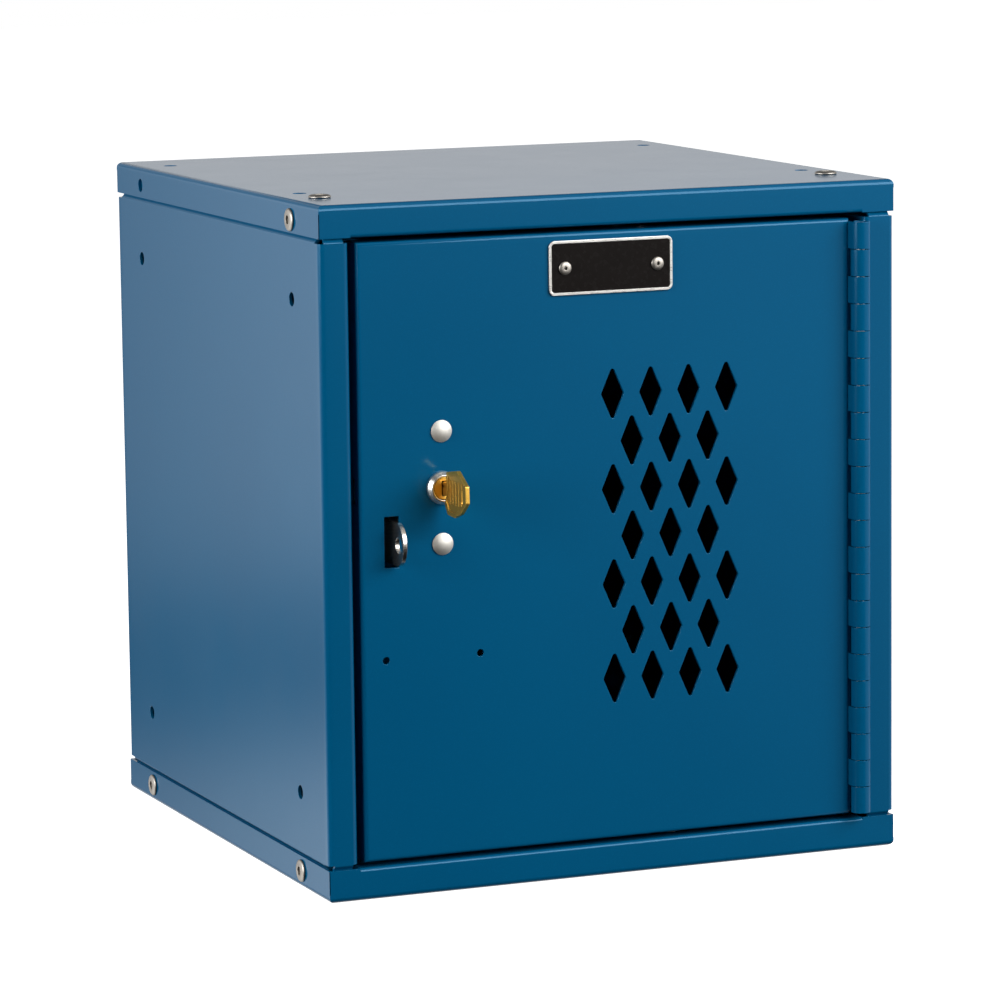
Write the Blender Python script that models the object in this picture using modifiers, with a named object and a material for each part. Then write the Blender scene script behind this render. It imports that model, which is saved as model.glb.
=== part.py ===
"""Single box locker: a folded sheet steel cabinet with a flush, vented door on a continuous hinge.

Frame: origin at the middle of the underside, +X to the right seen from the front, -Y out of the
front, +Z up. Every length is in metres and is written as so many MM.
"""

import math

import bmesh
import bpy
from mathutils import Matrix, Vector

MM = 0.001

# ---- Cabinet ----------------------------------------------------------------------------------
WIDTH = 304.8 * MM
DEPTH = 304.8 * MM
HEIGHT = 338.0 * MM
SHEET = 1.5 * MM                 # body and door sheet
INNER_BEND = 1.3 * MM            # inner radius of the body's folds
JOINT_GAP = 0.3 * MM             # between pieces that touch
PAN_FLANGE = 16.0 * MM           # height of the cap's and the base's flanges
SILL_DEPTH = 11.0 * MM           # the flanges' inward return between the posts
SILL_INNER_BEND = 0.3 * MM
SILL_END_GAP = 1.0 * MM          # from a post's inner face to the end of the return
CORNER_SEAM = 0.5 * MM           # where two flanges of a pan meet
LEFT_POST = 15.1 * MM            # post faces, seen from the front
RIGHT_POST = 16.5 * MM
LEFT_RETURN = 19.0 * MM          # depth of the left post behind its face
STRIKE_WIDTH = 12.3 * MM         # flange that the door closes against
RIGHT_RETURN = 20.0 * MM
BACK_FLANGE = 20.0 * MM
JOGGLE_RUN = 2.7 * MM            # height over which a panel steps in behind a flange
JOGGLE_START = 2.4 * MM          # how far below the cap's flange the step begins
TAB_RELIEF = 3.2 * MM            # how far a tab stays from the corner's fold
TOP_LEDGE = 25.0 * MM            # side panel's flange under the cap
BACK_SHEET = 1.2 * MM

# ---- Door -------------------------------------------------------------------------------------
DOOR_LEFT_GAP = 3.8 * MM
DOOR_END_GAP = 2.6 * MM          # above and below the door
DOOR_FLANGE = 16.0 * MM
DOOR_INNER_BEND = 0.5 * MM
LABEL_HOLE_R = 1.8 * MM
LABEL_HOLE_IN = 12.2 * MM        # from the door's edge to the first label hole
LABEL_HOLE_PITCH = 49.0 * MM
LABEL_HOLE_DOWN = 82.4 * MM      # below the lock
VENT_WIDTH = 11.6 * MM
VENT_HEIGHT = 25.3 * MM
VENT_TIP_R = 1.2 * MM
VENT_PITCH_X = 20.4 * MM
VENT_PITCH_Z = 23.5 * MM
VENT_FROM_HINGE = 98.4 * MM      # from the door's right edge to the middle of the vents
VENT_LIFT = 0.1 * MM             # above the middle of the height
VENT_ROWS = (4, 3, 4, 3, 4, 3, 4)

# ---- Hinge ------------------------------------------------------------------------------------
BARREL_R = 3.7 * MM
BARREL_PROUD = 0.2 * MM          # from the front face to the back of the barrel
LEAF_SHEET = 1.2 * MM
LEAF_DEPTH = 14.0 * MM           # leaf behind the front face
KNUCKLES = 22
KNUCKLE_GAP = 0.35 * MM
KNUCKLE_CLEAR = 0.6 * MM
HINGE_END_GAP = 4.0 * MM         # from a pan's flange to the end of the hinge
PIN_CLEAR = 0.25 * MM
ROLL_TURN = 292.0                # degrees of a knuckle's roll

# ---- Lock -------------------------------------------------------------------------------------
LOCK_LIFT = 30.4 * MM            # above the middle of the height
PLUG_R = 5.5 * MM
PLUG_PROUD = 3.6 * MM
PLUG_CLEAR = 0.2 * MM
BEZEL_WALL = 1.2 * MM
BEZEL_FLANGE = 1.2 * MM
BEZEL_LIP = 0.4 * MM             # in front of the plug's face
LOCK_RIVET_PITCH = 54.9 * MM
LOCK_RIVET_HEAD_R = 5.4 * MM
LOCK_RIVET_HEAD_H = 1.9 * MM
LOCK_RIVET_R = 2.4 * MM
CASE_WALL = 1.3 * MM
CASE_END = 8.55 * MM             # from a rivet to the end of the case
CASE_DEPTH = 12.0 * MM           # inside its open back
CASE_STOP_GAP = 0.2 * MM         # from the thrown bolt to the case
CASE_REST_GAP = 2.1 * MM         # from the retracted bolt to the case
CASE_HASP_GAP = 2.0 * MM         # from the eye plate to the case
COVER_SHEET = 1.2 * MM
CAM_RIM = 0.3 * MM               # outside the drive pin
CAM_SHEET = 1.6 * MM
CAM_STANDOFF = 2.3 * MM          # from the case's front wall
CAM_PIN_ORBIT = 8.2 * MM
CAM_PIN_R = 1.5 * MM
TAIL_WALL = 0.85 * MM            # outside the keyway's corner height
TAIL_END_GAP = 0.6 * MM          # inside the case's open back
BOLT_SHEET = 3.0 * MM
BOLT_LEFT_RIM = 3.4 * MM         # round the bolt's window
BOLT_RIGHT_RIM = 3.0 * MM
BOLT_TOP_RIM = 4.0 * MM
BOLT_TONGUE = 11.0 * MM          # height of the tongue
BOLT_CLEAR = 0.5 * MM
BOLT_TIP_INSET = 0.9 * MM        # retracted tip, inside the door's edge
BOLT_THROW = 2 * CAM_PIN_ORBIT * math.sin(math.radians(45))
STRIKE_CLEAR = 1.5 * MM

# ---- Key --------------------------------------------------------------------------------------
KEY_SHEET = 2.0 * MM
KEY_BLADE = 6.6 * MM
KEY_CLEAR = 0.35 * MM
KEY_TIP_INSET = 1.0 * MM         # from the tail's end to the tip
KEY_NECK_Y = 8.0 * MM            # from the front face to the bow
KEY_BOW = (
    (8.2, 8.7),
    (21.8, 10.8),
    (33.0, 4.5),
    (33.4, -3.8),
    (25.9, -9.7),
    (18.0, -12.4),
    (9.3, -12.0),
    (5.6, -7.0),
)                                # mm in front of the door and above the plug's axis
KEY_RING_SLOT = ((26.2, -4.6), (28.2, 2.4))
KEY_CUTS = (1.2, 2.2, 0.8, 1.8)  # mm, depth of the bitting from the tip

# ---- Padlock hasp -----------------------------------------------------------------------------
HASP_SHEET = 2.0 * MM
HASP_BEYOND = 9.1 * MM           # from the strike flange's edge to the middle of the eye plate
HASP_PROUD = 13.5 * MM
HASP_HEIGHT = 21.0 * MM
HASP_DOWN = 25.4 * MM            # below the lock
HASP_EYE_R = 4.1 * MM
HASP_EYE_Y = 7.0 * MM            # from the front face to the eye's middle
HASP_FOOT_GAP = 2.7 * MM         # from the post's inner face to the foot
HASP_SLOT_ROOM = (4.5 * MM, 1.3 * MM)    # beside the eye plate, left and right
HASP_SLOT_ENDS = (1.5 * MM, 2.5 * MM)    # below and above it
HASP_RIVET_R = 1.6 * MM
HASP_RIVET_HEAD_R = 3.0 * MM
HASP_RIVET_INSET = 5.0 * MM
BUMPER_FROM_END = 39.4 * MM      # from the door's end
BUMPER_R = 4.2 * MM
BUMPER_THICK = 2.2 * MM

# ---- Nameplate --------------------------------------------------------------------------------
PLATE_WIDTH = 65.5 * MM
PLATE_HEIGHT = 26.6 * MM
PLATE_SHIFT = 1.05 * MM          # right of the door's middle
PLATE_DOWN = 3.8 * MM            # below the door's top
PLATE_SHEET = 0.8 * MM
PLATE_CORNER_R = 3.0 * MM
PLATE_RIVET_PITCH = 49.0 * MM
POP_RIVET_HEAD_R = 3.3 * MM
POP_RIVET_HEAD_H = 1.1 * MM
POP_RIVET_R = 1.6 * MM
POP_MANDREL_R = 0.8 * MM

# ---- Body fasteners ---------------------------------------------------------------------------
SCREW_R = 3.1 * MM
SCREW_CLEAR = 0.3 * MM
SCREW_HEAD_R = 5.55 * MM
SCREW_HEAD_H = 1.5 * MM
SCREW_SOCKET_R = 2.2 * MM
SCREW_SOCKET_DEPTH = 1.0 * MM
SCREW_BEYOND = 0.8 * MM          # past the nut
NUT_HALF_FLATS = 5.4 * MM
NUT_THICK = 3.6 * MM
NUT_CLEAR = 0.2 * MM
SIDE_HOLE_INSET = 38.9 * MM      # from the front and from the back
SIDE_HOLE_TOP = 48.0 * MM        # below the top
SIDE_HOLE_BOTTOM = 48.0 * MM     # above the base
NUT_UNDER_LEDGE = 0.9 * MM       # from a side panel's ledge to the nuts of the cap's screws
BASE_SCREW_UP = 8.8 * MM
TOP_SCREW = (16.6 * MM, 42.4 * MM)      # in from the side, in from the front
TOP_HOLE_FRONT = 70.4 * MM
TOP_HOLE_BACK = 39.4 * MM
BACK_RIVET_INSET = 11.5 * MM
BACK_RIVET_FROM_END = 59.0 * MM

# ---- Segments ---------------------------------------------------------------------------------
ROUND = 20
SMALL_ROUND = 12
BEND_STEPS = 3
ROLL_STEPS = 11

# ---- What follows from the sizes --------------------------------------------------------------
LEFT, RIGHT = -WIDTH / 2, WIDTH / 2
FRONT, BACK = -DEPTH / 2, DEPTH / 2
BEND = SHEET + INNER_BEND
SILL_BEND = SHEET + SILL_INNER_BEND
DOOR_BEND = SHEET + DOOR_INNER_BEND
INSET = SHEET + JOINT_GAP                     # a tab's step in behind a flange
OPENING_LEFT, OPENING_RIGHT = LEFT + LEFT_POST, RIGHT - RIGHT_POST
STRIKE_FACE = FRONT + LEFT_RETURN
STRIKE_EDGE = OPENING_LEFT + STRIKE_WIDTH

HINGE_X = OPENING_RIGHT - JOINT_GAP - BARREL_R
HINGE_Y = FRONT - BARREL_PROUD - BARREL_R
PIN_R = BARREL_R - LEAF_SHEET - PIN_CLEAR

DOOR_LEFT = OPENING_LEFT + DOOR_LEFT_GAP
DOOR_RIGHT = HINGE_X - BARREL_R - JOINT_GAP
DOOR_BOTTOM = PAN_FLANGE + DOOR_END_GAP
DOOR_TOP = HEIGHT - PAN_FLANGE - DOOR_END_GAP
DOOR_INSIDE = FRONT + SHEET

TAIL_R = KEY_BLADE / 2 + KEY_CLEAR + TAIL_WALL
CAM_R = CAM_PIN_ORBIT + CAM_PIN_R + CAM_RIM
BOLT_WINDOW = TAIL_R + BOLT_CLEAR             # half the height of the bolt's window
BOLT_BODY_LEFT = BOLT_WINDOW + BOLT_LEFT_RIM  # left of the plug's axis, retracted
BOLT_BODY_RIGHT = BOLT_THROW + BOLT_WINDOW + BOLT_RIGHT_RIM
CASE_LEFT = BOLT_BODY_LEFT + BOLT_THROW + CASE_STOP_GAP + CASE_WALL
CASE_RIGHT = BOLT_BODY_RIGHT + CASE_REST_GAP + CASE_WALL
CASE_HEIGHT = LOCK_RIVET_PITCH + 2 * CASE_END
HASP_X = STRIKE_EDGE + HASP_BEYOND
LOCK_X = HASP_X + HASP_SHEET / 2 + CASE_HASP_GAP + CASE_LEFT
LOCK_Z = HEIGHT / 2 + LOCK_LIFT
BORE_R = PLUG_R + PLUG_CLEAR
BEZEL_BARREL_R = BORE_R + BEZEL_WALL
BEZEL_R = BEZEL_BARREL_R + BEZEL_FLANGE
BEZEL_PROUD = PLUG_PROUD + BEZEL_LIP
CASE_FRONT = DOOR_INSIDE + JOINT_GAP
CASE_BACK = CASE_FRONT + CASE_WALL + CASE_DEPTH
COVER_FRONT = CASE_BACK + JOINT_GAP
CAM_FRONT = CASE_FRONT + CASE_WALL + CAM_STANDOFF
BOLT_FRONT = CAM_FRONT + CAM_SHEET + BOLT_CLEAR
BOLT_BACK = BOLT_FRONT + BOLT_SHEET
TAIL_END = CASE_BACK - TAIL_END_GAP

HASP_MIDDLE_Z = LOCK_Z - HASP_DOWN
HASP_Z = (HASP_MIDDLE_Z - HASP_HEIGHT / 2, HASP_MIDDLE_Z + HASP_HEIGHT / 2)
HASP_SLOT = (
    HASP_X - HASP_SHEET / 2 - HASP_SLOT_ROOM[0],
    HASP_X + HASP_SHEET / 2 + HASP_SLOT_ROOM[1],
)
HASP_SLOT_Z = (HASP_Z[0] - HASP_SLOT_ENDS[0], HASP_Z[1] + HASP_SLOT_ENDS[1])
BUMPER_Z = (DOOR_BOTTOM + BUMPER_FROM_END, DOOR_TOP - BUMPER_FROM_END)
LABEL_HOLE_X = (DOOR_LEFT + LABEL_HOLE_IN, DOOR_LEFT + LABEL_HOLE_IN + LABEL_HOLE_PITCH)
VENT_CENTRE = (DOOR_RIGHT - VENT_FROM_HINGE, HEIGHT / 2 + VENT_LIFT)
PLATE_MIDDLE = (
    (DOOR_LEFT + DOOR_RIGHT) / 2 + PLATE_SHIFT,
    DOOR_TOP - PLATE_DOWN - PLATE_HEIGHT / 2,
)

SCREW_HOLE_R = SCREW_R + SCREW_CLEAR
CAP_SCREW_DOWN = 2 * SHEET + JOINT_GAP + NUT_UNDER_LEDGE + NUT_HALF_FLATS
TOP_SCREW_AT = (WIDTH / 2 - TOP_SCREW[0], FRONT + TOP_SCREW[1])
TOP_HOLE_AT = (TOP_SCREW_AT[0], FRONT + TOP_HOLE_FRONT)
TOP_BACK_AT = (TOP_SCREW_AT[0], BACK - TOP_HOLE_BACK)
SIDE_HOLE_Y = DEPTH / 2 - SIDE_HOLE_INSET
SIDE_HOLE_Z = (SIDE_HOLE_BOTTOM, HEIGHT - SIDE_HOLE_TOP)
BACK_RIVET_X = WIDTH / 2 - BACK_RIVET_INSET
BACK_RIVET_Z = (BACK_RIVET_FROM_END, HEIGHT / 2, HEIGHT - BACK_RIVET_FROM_END)

PLANE_XY = Matrix.Identity(4)
PLANE_XZ = Matrix(((1, 0, 0, 0), (0, 0, -1, 0), (0, 1, 0, 0), (0, 0, 0, 1)))
PLANE_YZ = Matrix(((0, 0, 1, 0), (1, 0, 0, 0), (0, 1, 0, 0), (0, 0, 0, 1)))
TOWARDS = {
    "-x": Matrix.Rotation(math.radians(-90), 4, "Y"),
    "+x": Matrix.Rotation(math.radians(90), 4, "Y"),
    "-y": Matrix.Rotation(math.radians(90), 4, "X"),
    "+y": Matrix.Rotation(math.radians(-90), 4, "X"),
    "+z": Matrix.Identity(4),
    "-z": Matrix.Rotation(math.radians(180), 4, "X"),
}

FINISHES = {
    "blue_paint": ((0.008, 0.085, 0.200), 0.35, 0.0),
    "zinc_steel": ((0.62, 0.60, 0.56), 0.32, 1.0),
    "nickel": ((0.72, 0.70, 0.66), 0.18, 1.0),
    "brass": ((0.62, 0.40, 0.10), 0.25, 1.0),
    "black_plate": ((0.012, 0.012, 0.013), 0.35, 0.0),
    "black_rubber": ((0.020, 0.020, 0.021), 0.80, 0.0),
}


# ---- Tools ------------------------------------------------------------------------------------
def collection(name):
    made = bpy.data.collections.new(name)
    bpy.context.scene.collection.children.link(made)
    return made


def finish_material(name, finish):
    """A Principled material for one piece."""
    colour, roughness, metallic = FINISHES[finish]
    material = bpy.data.materials.new(name)
    material.use_nodes = True
    shader = material.node_tree.nodes["Principled BSDF"]
    shader.inputs["Base Color"].default_value = (*colour, 1)
    shader.inputs["Roughness"].default_value = roughness
    shader.inputs["Metallic"].default_value = metallic
    material.diffuse_color = (*colour, 1)
    return material


def piece(name, mesh, finish, matrix=None):
    """One named part of the cabinet."""
    made = bpy.data.objects.new(name, mesh)
    if matrix is not None:
        made.matrix_world = matrix
    CABINET.objects.link(made)
    mesh.materials.clear()
    mesh.materials.append(finish_material(name, finish))
    return made


def as_mesh(name, bm):
    mesh = bpy.data.meshes.new(name)
    bm.to_mesh(mesh)
    bm.free()
    return mesh


def smooth(part, angle=32):
    part.data.shade_smooth()
    part.data.set_sharp_from_angle(angle=math.radians(angle))


def add_block(bm, low, high):
    """Adds a box between two corners."""
    low, high = Vector(low), Vector(high)
    size = Matrix.Diagonal((*(high - low), 1))
    bmesh.ops.create_cube(bm, size=1, matrix=Matrix.Translation((low + high) / 2) @ size)


def add_drum(bm, start, towards, radius, length, segments=ROUND):
    """Adds a cylinder from a point, along one of the axes."""
    place = Matrix.Translation(start) @ TOWARDS[towards] @ Matrix.Translation((0, 0, length / 2))
    bmesh.ops.create_cone(
        bm, cap_ends=True, segments=segments, radius1=radius, radius2=radius, depth=length,
        matrix=place,
    )


def add_drills(bm, points, towards, radius, reach=8 * MM, segments=SMALL_ROUND):
    """Adds a drill through each point, reaching both ways."""
    back = TOWARDS[towards] @ Vector((0, 0, -reach))
    for point in points:
        add_drum(bm, Vector(point) + back, towards, radius, 2 * reach, segments)


def cut(part, bm_or_mesh, how="DIFFERENCE", matrix=None):
    """Cuts a part with a closed mesh, or joins it to one."""
    shape = bm_or_mesh
    if isinstance(shape, bmesh.types.BMesh):
        shape = as_mesh(part.name + "_cutter", shape)
    cutter = bpy.data.objects.new(part.name + "_cutter", shape)
    if matrix is not None:
        cutter.matrix_world = matrix
    CUTTERS.objects.link(cutter)
    cutter.hide_render = True
    cutter.display_type = "WIRE"
    modifier = part.modifiers.new("Cut" if how == "DIFFERENCE" else "Join", "BOOLEAN")
    modifier.operation = how
    modifier.solver = "EXACT"
    modifier.object = cutter
    return part


def outline_mesh(name, outlines, thickness):
    """A flat plate in its own XY plane, centred on it, from closed outlines. An inner one is a hole."""
    curve = bpy.data.curves.new(name, "CURVE")
    curve.dimensions = "2D"
    curve.fill_mode = "BOTH"
    curve.extrude = thickness / 2
    for outline in outlines:
        spline = curve.splines.new("POLY")
        spline.points.add(len(outline) - 1)
        for point, (x, y) in zip(spline.points, outline):
            point.co = (x, y, 0, 1)
        spline.use_cyclic_u = True
    holder = bpy.data.objects.new(name, curve)
    CUTTERS.objects.link(holder)
    bpy.context.view_layer.update()
    graph = bpy.context.evaluated_depsgraph_get()
    mesh = bpy.data.meshes.new_from_object(holder.evaluated_get(graph))
    bpy.data.objects.remove(holder)
    bpy.data.curves.remove(curve)
    bm = bmesh.new()
    bm.from_mesh(mesh)
    bmesh.ops.remove_doubles(bm, verts=bm.verts, dist=0.00001)
    bmesh.ops.recalc_face_normals(bm, faces=bm.faces)
    bm.to_mesh(mesh)
    bm.free()
    return mesh


def arc(centre, radius, start, end, steps):
    """Points on an arc, ends included, angles in degrees."""
    turns = [math.radians(start + (end - start) * i / steps) for i in range(steps + 1)]
    return [(centre[0] + radius * math.cos(t), centre[1] + radius * math.sin(t)) for t in turns]


def rounded(points, radius, steps=2):
    """A closed outline with each corner rounded."""
    made = []
    for i, point in enumerate(points):
        here = Vector(point)
        before = (Vector(points[i - 1]) - here).normalized()
        after = (Vector(points[(i + 1) % len(points)]) - here).normalized()
        half = before.angle(after) / 2
        run = radius / math.tan(half)
        middle = here + (before + after).normalized() * (radius / math.sin(half))
        first, last = here + before * run - middle, here + after * run - middle
        turn = first.angle_signed(last)
        for k in range(steps + 1):
            made.append(tuple(middle + Matrix.Rotation(-turn * k / steps, 2) @ first))
    return made


def circle(centre, radius, steps):
    return arc(centre, radius, 0, 360 * (steps - 1) / steps, steps - 1)


def turned(name, profile, finish, place, segments=ROUND, bore=False):
    """A part turned about its own Z from (radius, height) pairs, listed top to bottom.

    A part with a bore ends its profile where it began."""
    bm = bmesh.new()
    points = list(profile) + ([profile[0]] if bore else [])
    verts = [bm.verts.new((r, 0, z)) for r, z in points]
    for first, second in zip(verts, verts[1:]):
        bm.edges.new((first, second))
    made = piece(name, as_mesh(name, bm), finish, place)
    screw = made.modifiers.new("Turn", "SCREW")
    screw.axis = "Z"
    screw.angle = math.tau
    screw.steps = segments
    screw.render_steps = segments
    screw.use_merge_vertices = True
    screw.merge_threshold = 0.00001
    screw.use_smooth_shade = True
    return made


def at(x, y, z, towards="+z"):
    return Matrix.Translation((x, y, z)) @ TOWARDS[towards]


# ---- Folded sheets ----------------------------------------------------------------------------
def folded_path(corners, radius):
    """A path with a fold at each inner corner, as (point, outward normal, span) with the outside on the
    left. A span is the name of the stretch that starts at that point."""
    path = []
    for i, (point, name) in enumerate(corners):
        here = Vector(point)
        if i in (0, len(corners) - 1):
            other = Vector(corners[1 if i == 0 else i - 1][0])
            along = (other - here) if i == 0 else (here - other)
            along.normalize()
            path.append((here, Vector((-along.y, along.x)), name))
            continue
        before = (here - Vector(corners[i - 1][0])).normalized()
        after = (Vector(corners[i + 1][0]) - here).normalized()
        n1, n2 = Vector((-before.y, before.x)), Vector((-after.y, after.x))
        if n1.dot(n2) > 0.999:
            path.append((here, n1, name))
            continue
        middle = here - (n1 + n2).normalized() * radius * math.sqrt(2)
        if before.cross(after) > 0:
            middle = here + (n1 + n2).normalized() * radius * math.sqrt(2)
        for k in range(BEND_STEPS + 1):
            normal = n1.slerp(n2, k / BEND_STEPS)
            outward = normal if before.cross(after) < 0 else -normal
            span = name if k == BEND_STEPS else "fold_at_" + name
            path.append((middle + outward * radius, normal, span))
    return path


def folded_sheet(name, path, rows, keep, finish, flip):
    """A sheet that follows a path in plan and steps inward up its height.

    rows are (height, step inward, zone); keep says which spans are there in which zone."""
    bm = bmesh.new()
    columns = len(path)
    grid = bmesh.ops.create_grid(bm, x_segments=columns - 1, y_segments=len(rows) - 1, size=1)
    across = sorted({round(v.co.x, 5) for v in grid["verts"]})
    up = sorted({round(v.co.y, 5) for v in grid["verts"]})
    spot = {v: (across.index(round(v.co.x, 5)), up.index(round(v.co.y, 5))) for v in bm.verts}
    gone = []
    for face in bm.faces:
        span = path[min(spot[v][0] for v in face.verts)][2]
        zone = rows[min(spot[v][1] for v in face.verts)][2]
        if not keep(span, zone):
            gone.append(face)
    for vert, (i, k) in spot.items():
        point, normal, _ = path[i]
        height, inward, _ = rows[k]
        where = point - normal * inward
        vert.co = (-where.x if flip else where.x, where.y, height)
    bmesh.ops.delete(bm, geom=gone, context="FACES")
    bm.normal_update()
    if not flip:
        bmesh.ops.reverse_faces(bm, faces=bm.faces)
    made = piece(name, as_mesh(name, bm), finish)
    shell = made.modifiers.new("Sheet", "SOLIDIFY")
    shell.thickness = SHEET
    shell.offset = -1
    shell.use_even_offset = True
    return made


def panel_rows():
    """The heights of a side panel, with the step in behind each pan and the ledge under the cap."""
    step_top = HEIGHT - PAN_FLANGE - JOGGLE_START
    step_bottom = HEIGHT - step_top
    ease = [(JOGGLE_RUN * k / 4, INSET * (1 - math.cos(math.pi * k / 4)) / 2) for k in (1, 2, 3, 4)]
    rows = [(SHEET + JOINT_GAP + BEND, INSET, "tab")]
    rows += [(step_bottom - run, inward, "tab") for run, inward in reversed(ease)]
    rows.append((step_bottom, 0, "wall"))
    rows.append((step_top, 0, "tab"))
    rows += [(step_top + run, inward, "tab") for run, inward in ease]
    ledge_top = HEIGHT - SHEET - JOINT_GAP
    tab_end = ledge_top - BEND
    rows.append((tab_end, INSET, "ledge"))
    for k in range(1, BEND_STEPS + 1):
        turn = math.radians(90 * k / BEND_STEPS)
        rows.append((tab_end + BEND * math.sin(turn), INSET + BEND * (1 - math.cos(turn)), "ledge"))
    rows.append((ledge_top, INSET + TOP_LEDGE, "ledge"))
    return rows


def keep_span(span, zone):
    """Only the post's face and the side go on behind a pan, and only the side is folded under it."""
    if zone == "wall":
        return True
    return span == "side" or (span == "post" and zone == "tab")


def side_path(post, inner_depth, strike):
    """A left side panel in plan, from the door opening round the front to the back."""
    opening = LEFT + post
    corners = []
    if strike:
        corners.append(((opening + STRIKE_WIDTH, FRONT + inner_depth), "strike"))
        corners.append(((opening, FRONT + inner_depth), "return"))
    else:
        corners.append(((opening, FRONT + inner_depth), "return"))
    corners += [
        ((opening, FRONT), "post"),
        ((LEFT, FRONT), "side_end"),
        ((LEFT, FRONT + BEND + TAB_RELIEF), "side"),
        ((LEFT, BACK - BACK_SHEET - 2 * SHEET - TAB_RELIEF), "side_end"),
        ((LEFT, BACK), "back_flange"),
        ((LEFT + BACK_FLANGE, BACK), "end"),
    ]
    return folded_path(corners, BEND)


def side_panel(name, post, inner_depth, strike, flip):
    made = folded_sheet(
        name, side_path(post, inner_depth, strike), panel_rows(), keep_span, "blue_paint", flip
    )
    wall = RIGHT if flip else LEFT
    side = 1 if flip else -1
    drills = bmesh.new()
    holes = [(wall, s * SIDE_HOLE_Y, z) for s in (-1, 1) for z in SIDE_HOLE_Z]
    add_drills(drills, holes, "+x", SCREW_HOLE_R)
    add_drills(drills, side_screw_points(side), "+x", SCREW_HOLE_R)
    add_drills(drills, [(side * x, y, HEIGHT) for x, y in (TOP_SCREW_AT, TOP_HOLE_AT)], "+z",
               SCREW_HOLE_R)
    rivets = [(side * BACK_RIVET_X, BACK, z) for z in BACK_RIVET_Z]
    add_drills(drills, rivets, "+y", POP_RIVET_R + JOINT_GAP)
    if strike:
        add_drills(drills, hasp_rivet_points(), "+y", HASP_RIVET_R + JOINT_GAP, 4 * MM)
        add_drills(drills, bumper_points(), "+y", BUMPER_R / 2 + JOINT_GAP, 4 * MM)
        half = BOLT_TONGUE / 2 + STRIKE_CLEAR
        add_block(
            drills,
            (OPENING_LEFT - 4 * MM, BOLT_FRONT - STRIKE_CLEAR, LOCK_Z - half),
            (OPENING_LEFT + 4 * MM, BOLT_BACK + STRIKE_CLEAR, LOCK_Z + half),
        )
    cut(made, drills)
    smooth(made)
    return made


def side_screw_points(side):
    """Where the screws through the cap's and the base's side flanges are."""
    heights = {-1: (HEIGHT - CAP_SCREW_DOWN, BASE_SCREW_UP), 1: (BASE_SCREW_UP,)}
    return [(side * WIDTH / 2, s * SIDE_HOLE_Y, z) for s in (-1, 1) for z in heights[s]]


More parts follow.
